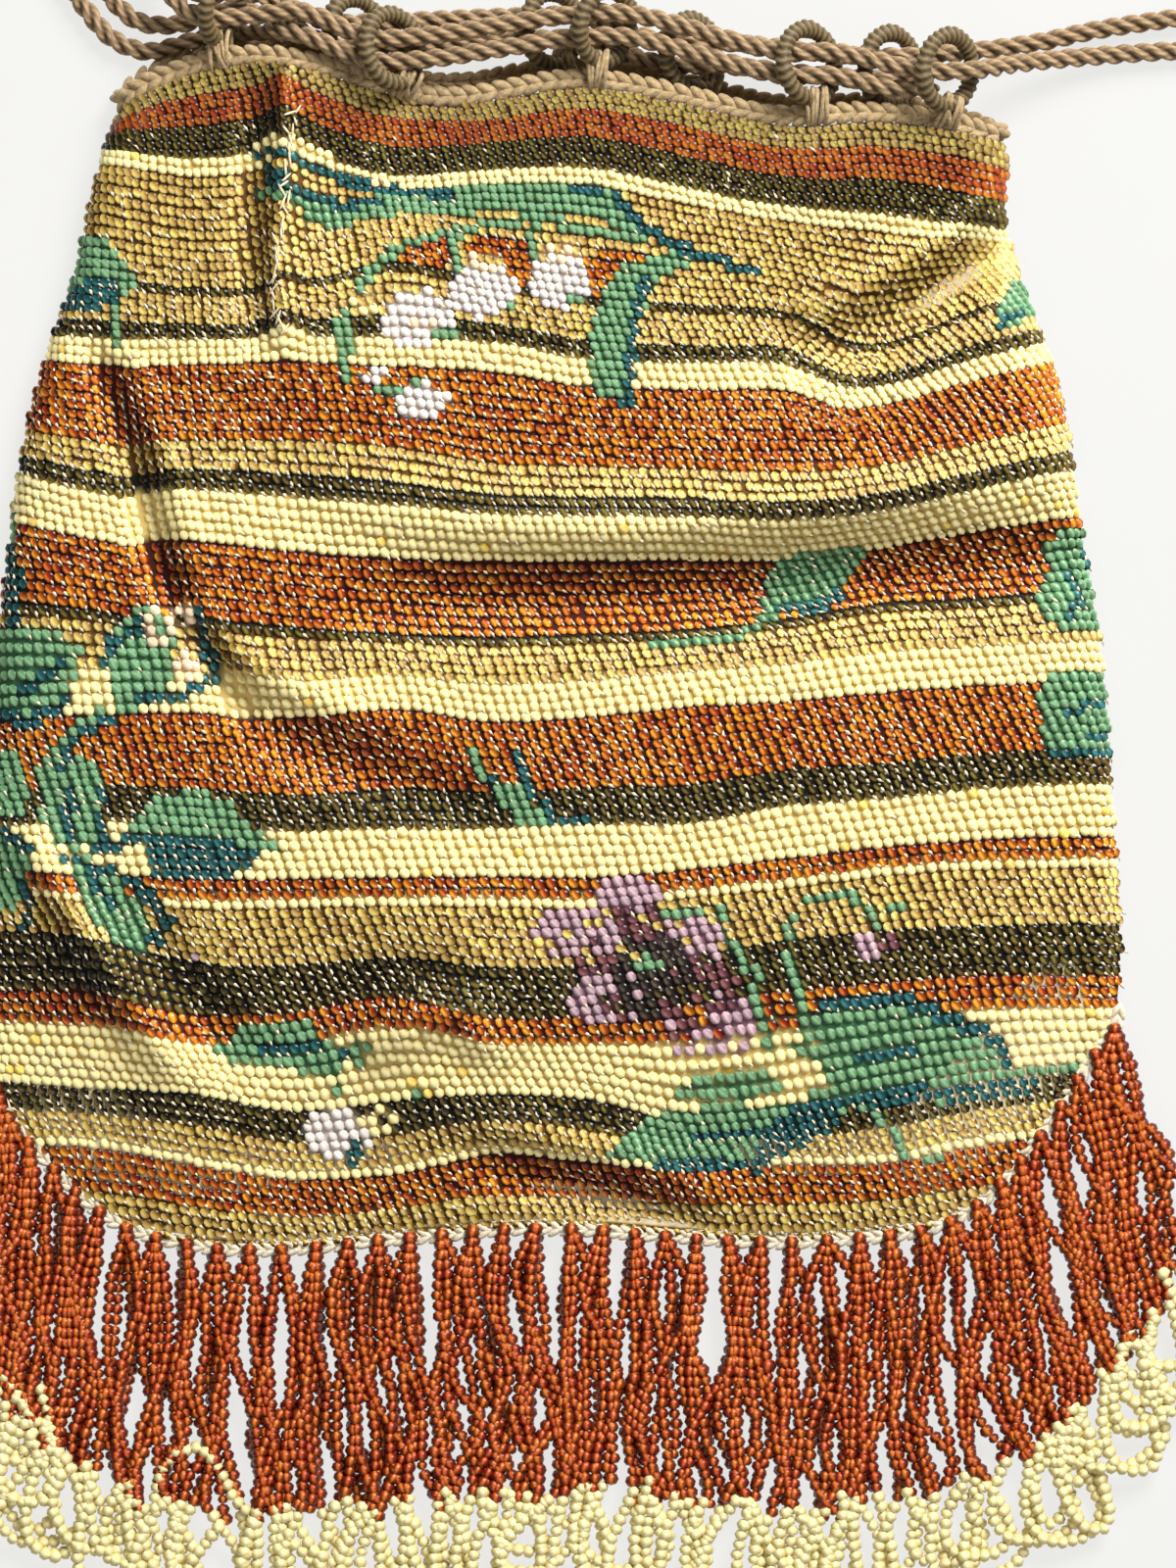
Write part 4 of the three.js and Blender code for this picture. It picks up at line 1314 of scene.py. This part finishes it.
def knit_ground():
    """Knitted ground of the front, one cell for each bead, in painted shade: the dark rim colour of the glass
    over it.
    """
    rows = np.arange(len(ROW_COLOURS) + 1).astype(float)
    px, py = knitted_grid(rows, np.linspace(0, 1, COLUMNS + 1), False)
    places, normals = face_points(px, py, False)
    codes = knitted_colours(px, py, np.minimum(rows, len(ROW_COLOURS) - 1))
    points = places - normals * GROUND_INSET * MM
    # Painted shade between the beads: each cell takes the rim colour of its glass
    painted_shades = np.array([linear(glass.rim) for glass in GLASS.values()])
    good = ~np.isnan(points[..., 0])
    numbers = np.full(good.shape, -1)
    numbers[good] = np.arange(good.sum())
    corners = [numbers[:-1, :-1], numbers[:-1, 1:], numbers[1:, 1:], numbers[1:, :-1]]
    cells = np.stack(corners, axis=-1).reshape(-1, 4)
    cells = cells[(cells >= 0).all(axis=1)]
    triangles = np.vstack([cells[:, [0, 2, 1]], cells[:, [0, 3, 2]]])
    values = {"ground": painted_shades[codes[good]]}
    mesh_piece("knitted_ground_painted_shade", points[good], triangles, ground_material(), values)


def bag_shell():
    """Hollow cloth of the bag. Its outside lies under the beads in every fold, and its inside stays."""
    normals = point_vectors(bag_mesh, "normal")
    points = bag_points.copy()
    px, py = to_pixel(points[:, 0], points[:, 1])
    points[:, 2] = folded(points[:, 2], px, py, lowest_fold)
    for i, (point, normal) in enumerate(zip(bag_points, normals)):
        start = Vector(point + normal * OFF_CLOTH * MM)
        if bag_tree.ray_cast(start, Vector(normal))[0] is None:
            points[i] -= normal * SHELL_INSET * MM
    bag_mesh.vertices.foreach_set("co", points.ravel())
    bag_mesh.shade_smooth()
    bag_mesh.materials.clear()
    bag_mesh.materials.append(shell_look)
    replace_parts(purse_piece("bag_cloth", bag_mesh), "bag")


front = knit("front", False, dome_bead())
knit("back", True, double_cone(6))
knit_thread(*front)
darning()
knit_ground()


# Crocheted edges

def braid(name, path, closed, stitch, width, material):
    """Crocheted chain along a line: pairs of slanted stitches over a core of thread."""
    path = evenly_along(path, spacing=stitch * MM, closed=closed)
    ahead = np.roll(path, -1, axis=0)
    if not closed:
        ahead[-1] = 2 * path[-1] - path[-2]
    tangents = unit(ahead - path)
    across = unit(np.cross((0, 0, 1), tangents))
    ups = np.cross(tangents, across)
    wobble = rng.normal(0, 1, (len(path), 2))
    half = width * STITCH_HALF * MM
    ahead_share, aside_share = STITCH_SLANT
    parts = []
    for side in (1, -1):
        stray = tangents * STITCH_STRAY * wobble[:, :1] * MM
        centres = path + across * side * width * STITCH_ASIDE * MM + stray
        inward = aside_share + STITCH_TURN * wobble[:, 1:]
        lean = unit(tangents * ahead_share - across * side * inward)
        halves = [lean * stitch * STITCH_REACH * MM, np.cross(ups, lean) * half, ups * half * STITCH_RISE]
        parts.append(scattered(fine_bead(), centres, *halves))
    middle = path - ups * CORE_DROP * width * MM
    core = tube_points(middle, across, ups, full_turn(CORE_SIDES), half)
    parts.append((core, tube_faces(len(path), CORE_SIDES, closed)))
    points, triangles = joined(parts)
    return mesh_piece(name, above_surface(points), triangles, material)


def mouth_rim():
    """Closed line over the middle of the mouth's rim: along the front to the right, and back underneath."""
    front_line, back_line = [], []
    for px in np.linspace(*RIM_PX, RIM_STEPS):
        py = float(row_height(np.array([px]), 0)[0]) + RIM_DEPTH_PX
        for on_back, line in ((False, front_line), (True, back_line)):
            places, normals = face_points(np.array([px]), np.array([py]), on_back)
            inner = places[0] - normals[0] * WALL / 2 * MM
            hit = None if np.isnan(inner[0]) else cast((inner[0], OUTSIDE * MM, inner[2]), BACK)
            if hit:
                line.append(hit[0] + np.array([0, EDGING_LIFT[on_back] * MM, 0]))
    rim = np.array(front_line + back_line[::-1])
    rim[:, 2] = np.maximum(rim[:, 2], EDGING_LOW * MM)
    for _ in range(2):
        rim = (np.roll(rim, 1, axis=0) + 2 * rim + np.roll(rim, -1, axis=0)) / 4
    return rim


rim_line = mouth_rim()
edging = braid("crocheted_edge", rim_line, True, EDGING_STITCH, EDGING_WIDTH, edging_look)
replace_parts(edging, "mouth_edging")


# Covered rings

def ring_frame(name):
    """A ring's centre, the direction through its middle, and two directions across it."""
    points = point_vectors(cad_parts[name].data, "co")
    _, _, directions = np.linalg.svd(points - points.mean(axis=0), full_matrices=False)
    axis = directions[2] if directions[2][2] > 0 else -directions[2]
    first = unit(np.cross(axis, (0, 1, 0)))
    return ring_centre(name), axis, first, np.cross(axis, first)


def covered_ring(name):
    """Ring plaited over with thread, unevenly on each. Its stitches meet in a ridge along the outside."""
    centre, axis, first, second = ring_frame(name)
    turn = full_turn(RING_STITCHES * RING_STEPS)
    wire = full_turn(WIRE_SIDES)
    from_ridge = np.abs((wire - RING_RIDGE + math.pi) % (2 * math.pi) - math.pi)
    slant = turn[:, None] * RING_STITCHES + COVER_SLANT * from_ridge[None, :]
    uneven = 1 + 0.06 * np.sin(3 * turn + centre[0] * 900) + 0.05 * np.sin(7 * turn)
    relief = 1 + COVER_RELIEF * np.cos(slant) - 0.05 * from_ridge[None, :]
    out = np.cos(turn)[:, None] * first + np.sin(turn)[:, None] * second
    path = centre + out * RING_RADIUS * MM
    axes = np.broadcast_to(axis, out.shape)
    points = tube_points(path, out, axes, wire, RING_WIRE * MM * uneven[:, None] * relief)
    triangles = tube_faces(len(turn), len(wire), True)
    # Drives the painted shade: 0 where the stitches dip between turns, 1 on their tops
    values = {"core": ((np.cos(slant) + 1) / 2).ravel()}
    piece = mesh_piece(name + "_cover", above_surface(points), triangles, ring_look, values)
    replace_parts(piece, name)


def ring_sewing(name, rim):
    """Turns of thread that bind a ring to the crocheted edge, as points and triangles."""
    centre, _, first, second = ring_frame(name)
    turn = np.linspace(0, 2 * math.pi, 120)
    wire = centre + RING_RADIUS * MM * (np.cos(turn)[:, None] * first + np.sin(turn)[:, None] * second)
    gaps = np.linalg.norm(wire[:, None, :] - rim[None, :, :], axis=2)
    on_wire, on_rim = np.unravel_index(gaps.argmin(), gaps.shape)
    toward = rim[on_rim] - wire[on_wire]
    middle = (rim[on_rim] + wire[on_wire]) / 2
    along = unit(rim[(on_rim + 1) % len(rim)] - rim[on_rim - 1])
    deep = np.linalg.norm(toward) / 2 + SEWING_GRIP * MM
    toward = unit(toward - along * (toward @ along))
    aside = np.cross(along, toward)
    angles = full_turn(SEWING_POINTS)
    section = full_turn(SEWING_SIDES)
    parts = []
    for k in range(SEWING_TURNS):
        shift = (k - (SEWING_TURNS - 1) / 2) * SEWING_STEP + rng.normal(0, SEWING_STRAY)
        lean = rng.normal(0, SEWING_LEAN)
        reach = deep * (1 + rng.normal(0, SEWING_VARIES))
        loop = (
            middle
            + along * ((shift + lean * np.cos(angles)) * MM)[:, None]
            + toward * (reach * np.cos(angles))[:, None]
            + aside * (SEWING_HALF * MM * np.sin(angles))[:, None]
        )
        points = tube_points(loop, *loop_frames(loop), section, SEWING_RADIUS * MM)
        parts.append((points, tube_faces(len(loop), len(section), True)))
    return joined(parts)


ring_names = [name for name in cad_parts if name.startswith("ring_")]
for ring_name in ring_names:
    covered_ring(ring_name)
sewing_points, sewing_faces = joined([ring_sewing(name, rim_line) for name in ring_names])
mesh_piece("ring_sewing", above_surface(sewing_points), sewing_faces, edging_look)


# Fringe

def bottom_line():
    """Line just outside the bag's bottom from its left corner to its right one, with outward directions."""
    middle_x, middle_y = from_pixel(*FRINGE_MIDDLE_PX)
    middle = np.array([middle_x, middle_y, SEAM_HEIGHT * MM])
    line = []
    for angle in np.radians(np.linspace(*FRINGE_DEGREES, 400)):
        out = np.array([math.cos(angle), math.sin(angle), 0])
        hit = cast(middle + out * OUTSIDE * MM, -out)
        if hit:
            line.append(hit[0])
    line = evenly_along(line, count=300)
    tangents = unit(np.gradient(line, axis=0))
    out = np.column_stack([tangents[:, 1], -tangents[:, 0], np.zeros(len(line))])
    return line + out * HEAD_LIFT * MM, out


def laid(strings, radius):
    """Strings of beads laid one after another on the surface, each resting on those under it."""
    placed = np.zeros((0, 3))
    finished = []
    pile = FRINGE_HEIGHT * MM
    for string in strings:
        z = np.maximum(string[:, 2], radius)
        if len(placed):
            gap = np.hypot(string[:, None, 0] - placed[None, :, 0], string[:, None, 1] - placed[None, :, 1])
            lift = np.sqrt(np.maximum((FRINGE_NEST * radius) ** 2 - gap**2, 0))
            over = np.where(lift > 0, placed[None, :, 2] + lift, 0)
            z = np.maximum(z, over.max(axis=1))
        places = np.arange(len(z))
        fall = np.abs(places[:, None] - places[None, :]) * radius * FRINGE_FALL
        z = (z[None, :] - fall).max(axis=1)
        z = radius + pile * (1 - np.exp(-(z - radius) / pile))
        done = np.column_stack([string[:, :2], z])
        finished.append(done)
        placed = np.vstack([placed, done])
    return finished


def fringe_leg(root, tip, away):
    """One string from its stitch down to the place over its tip, wandering among its neighbours."""
    aside = np.array([-away[1], away[0], 0])
    radius = FRINGE_BEAD / 2 * MM
    s = np.linspace(0, 1, 60)
    wave = rng.normal(0, LEG_WAVE) * np.sin(s * math.pi * rng.uniform(*LEG_WAVES))
    ripple = rng.normal(0, LEG_RIPPLE) * np.sin(s * math.pi * rng.uniform(*LEG_RIPPLES)) * s
    drift = (tip - root) * (s ** rng.uniform(*LEG_DRIFTS))[:, None]
    reach = (LEG_LENGTH + rng.normal(0, LEG_VARIES)) * MM
    path = root + drift + away * (reach * s)[:, None] + aside * ((wave + ripple) * MM)[:, None]
    path[:, 2] = radius + (SEAM_HEIGHT * MM - radius) * np.exp(-s * LEG_LENGTH / LEG_SETTLES)
    return evenly_along(path, spacing=FRINGE_PITCH * MM)


def fringe_loop(start, end, away):
    """Pale loop from the end of one leg to the end of another."""
    aside = np.array([-away[1], away[0], 0])
    depth = (LOOP_DEPTH + rng.normal(0, LOOP_DEPTH_VARIES)) * MM
    bulge = (LOOP_BULGE + rng.normal(0, LOOP_BULGE_VARIES)) * MM
    sway = rng.normal(0, LOOP_SWAY) * MM
    f = np.linspace(0, 1, 60)
    swing = np.sin(math.pi * f)
    path = (
        start + (end - start) * f[:, None] + away * (depth * swing)[:, None]
        + aside * (sway * swing - bulge * np.sin(2 * math.pi * f))[:, None]
    )
    path[:, 2] = FRINGE_BEAD / 2 * MM
    return evenly_along(path, spacing=FRINGE_PITCH * MM)[1:-1]


def fringe_strings(line, out):
    """Rust legs from each stitch of the bottom edge, and pale loops that join the ends of near legs."""
    stitches = int(lengths_along(line)[-1] / (FRINGE_STEP * MM))
    count = stitches * FRINGE_LEGS
    last = len(line) - 1
    legs, loops, directions = [], [], []
    for j in range(count):
        root = int((j // FRINGE_LEGS + 0.5) / stitches * last)
        tip = int(np.clip((j + 0.5 + rng.normal(0, LEG_STRAY)) / count, 0, 1) * last)
        spread = np.interp(j, (0, count - 1), FRINGE_SPREAD)
        away = unit(np.array([0, -1, 0]) * (1 - spread) + out[root] * spread)
        legs.append(fringe_leg(line[root], line[tip], away))
        directions.append(away)
    order = sorted(range(count), key=lambda j: legs[j][-1][0])
    for start in range(0, count - LOOP_GROUP + 1, LOOP_GROUP):
        for first, second in LOOP_PAIRS:
            first, second = order[start + first], order[start + second]
            loops.append(fringe_loop(legs[first][-1], legs[second][-1], directions[first]))
    return legs, loops


def stray_loop():
    """Pale loop that lies turned up over the legs at the left."""
    x, y = from_pixel(*np.array(STRAY_LOOP_PX).T)
    path = np.column_stack([x, y, np.full(len(x), FRINGE_HEIGHT * MM)])
    return evenly_along(path, spacing=FRINGE_PITCH * MM)


def strung(name, strings, look):
    """Beads threaded on strings as one piece."""
    template = round_bead()
    centres = np.vstack(strings)
    along = np.vstack([unit(np.gradient(s, axis=0)) for s in strings])
    across = unit(np.cross((0, 0, 1), along))
    ups = np.cross(along, across)
    wobble = rng.normal(0, 1, (len(centres), 3))
    centres = centres + across * (FRINGE_STRAY * wobble[:, 1:2] * MM)
    along = unit(along + across * FRINGE_TURN * wobble[:, 2:])
    across = np.cross(ups, along)
    half = FRINGE_BEAD / 2 * MM * (1 + FRINGE_VARIES * wobble[:, :1])
    length = half * FRINGE_PITCH / FRINGE_BEAD * FRINGE_OVERLAP
    points, triangles = scattered(template, centres, along * length, across * half, ups * half)
    values = bead_values(template, rng.random(len(centres)))
    return mesh_piece(name, above_surface(points), triangles, look, values)


head_line, outward = bottom_line()
leg_strings, loop_strings = fringe_strings(head_line, outward)
resting = laid(leg_strings + loop_strings + [stray_loop()], FRINGE_BEAD / 2 * MM)
fringe_legs = strung("fringe_legs", resting[:len(leg_strings)], bead_looks["fringe_rust"])
strung("fringe_loops", resting[len(leg_strings):], bead_looks["fringe_pale"])
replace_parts(fringe_legs, "fringe")
braid("fringe_thread", head_line, False, HEAD_STITCH, HEAD_WIDTH, head_look)
bag_shell()

# Floor and light

FLOOR_HALF = 3  # half of the floor's width, m
FLOOR_DROP = 0.2  # how far the floor lies under the purse, mm


def add_floor():
    mesh = bpy.data.meshes.new("floor")
    corners = [(x * FLOOR_HALF, y * FLOOR_HALF, 0) for x, y in ((-1, -1), (1, -1), (1, 1), (-1, 1))]
    mesh.from_pydata(corners, [], [(0, 1, 2, 3)])
    mesh.materials.append(floor_material())
    floor = new_object("floor", mesh)
    floor.location.z = -FLOOR_DROP * MM


def add_area(name, place, size, power):
    """Square lamp that faces the purse."""
    data = bpy.data.lights.new(name, "AREA")
    data.size = size
    data.energy = power
    light = new_object(name, data)
    light.location = place
    light.rotation_euler = (-Vector(place)).to_track_quat("-Z", "Y").to_euler()


def add_light():
    world = bpy.data.worlds.new("studio")
    world.use_nodes = True
    set_inputs(world.node_tree.nodes["Background"], {"Color": (1, 0.99, 0.97, 1), "Strength": 0.2})
    bpy.context.scene.world = world
    add_area("window", (0.55, 0.95, 0.85), size=0.7, power=34)
    add_area("fill", (-0.3, -0.8, 1.2), size=1.2, power=5.2)
    bpy.context.scene.view_settings.view_transform = "Standard"


add_floor()
add_light()
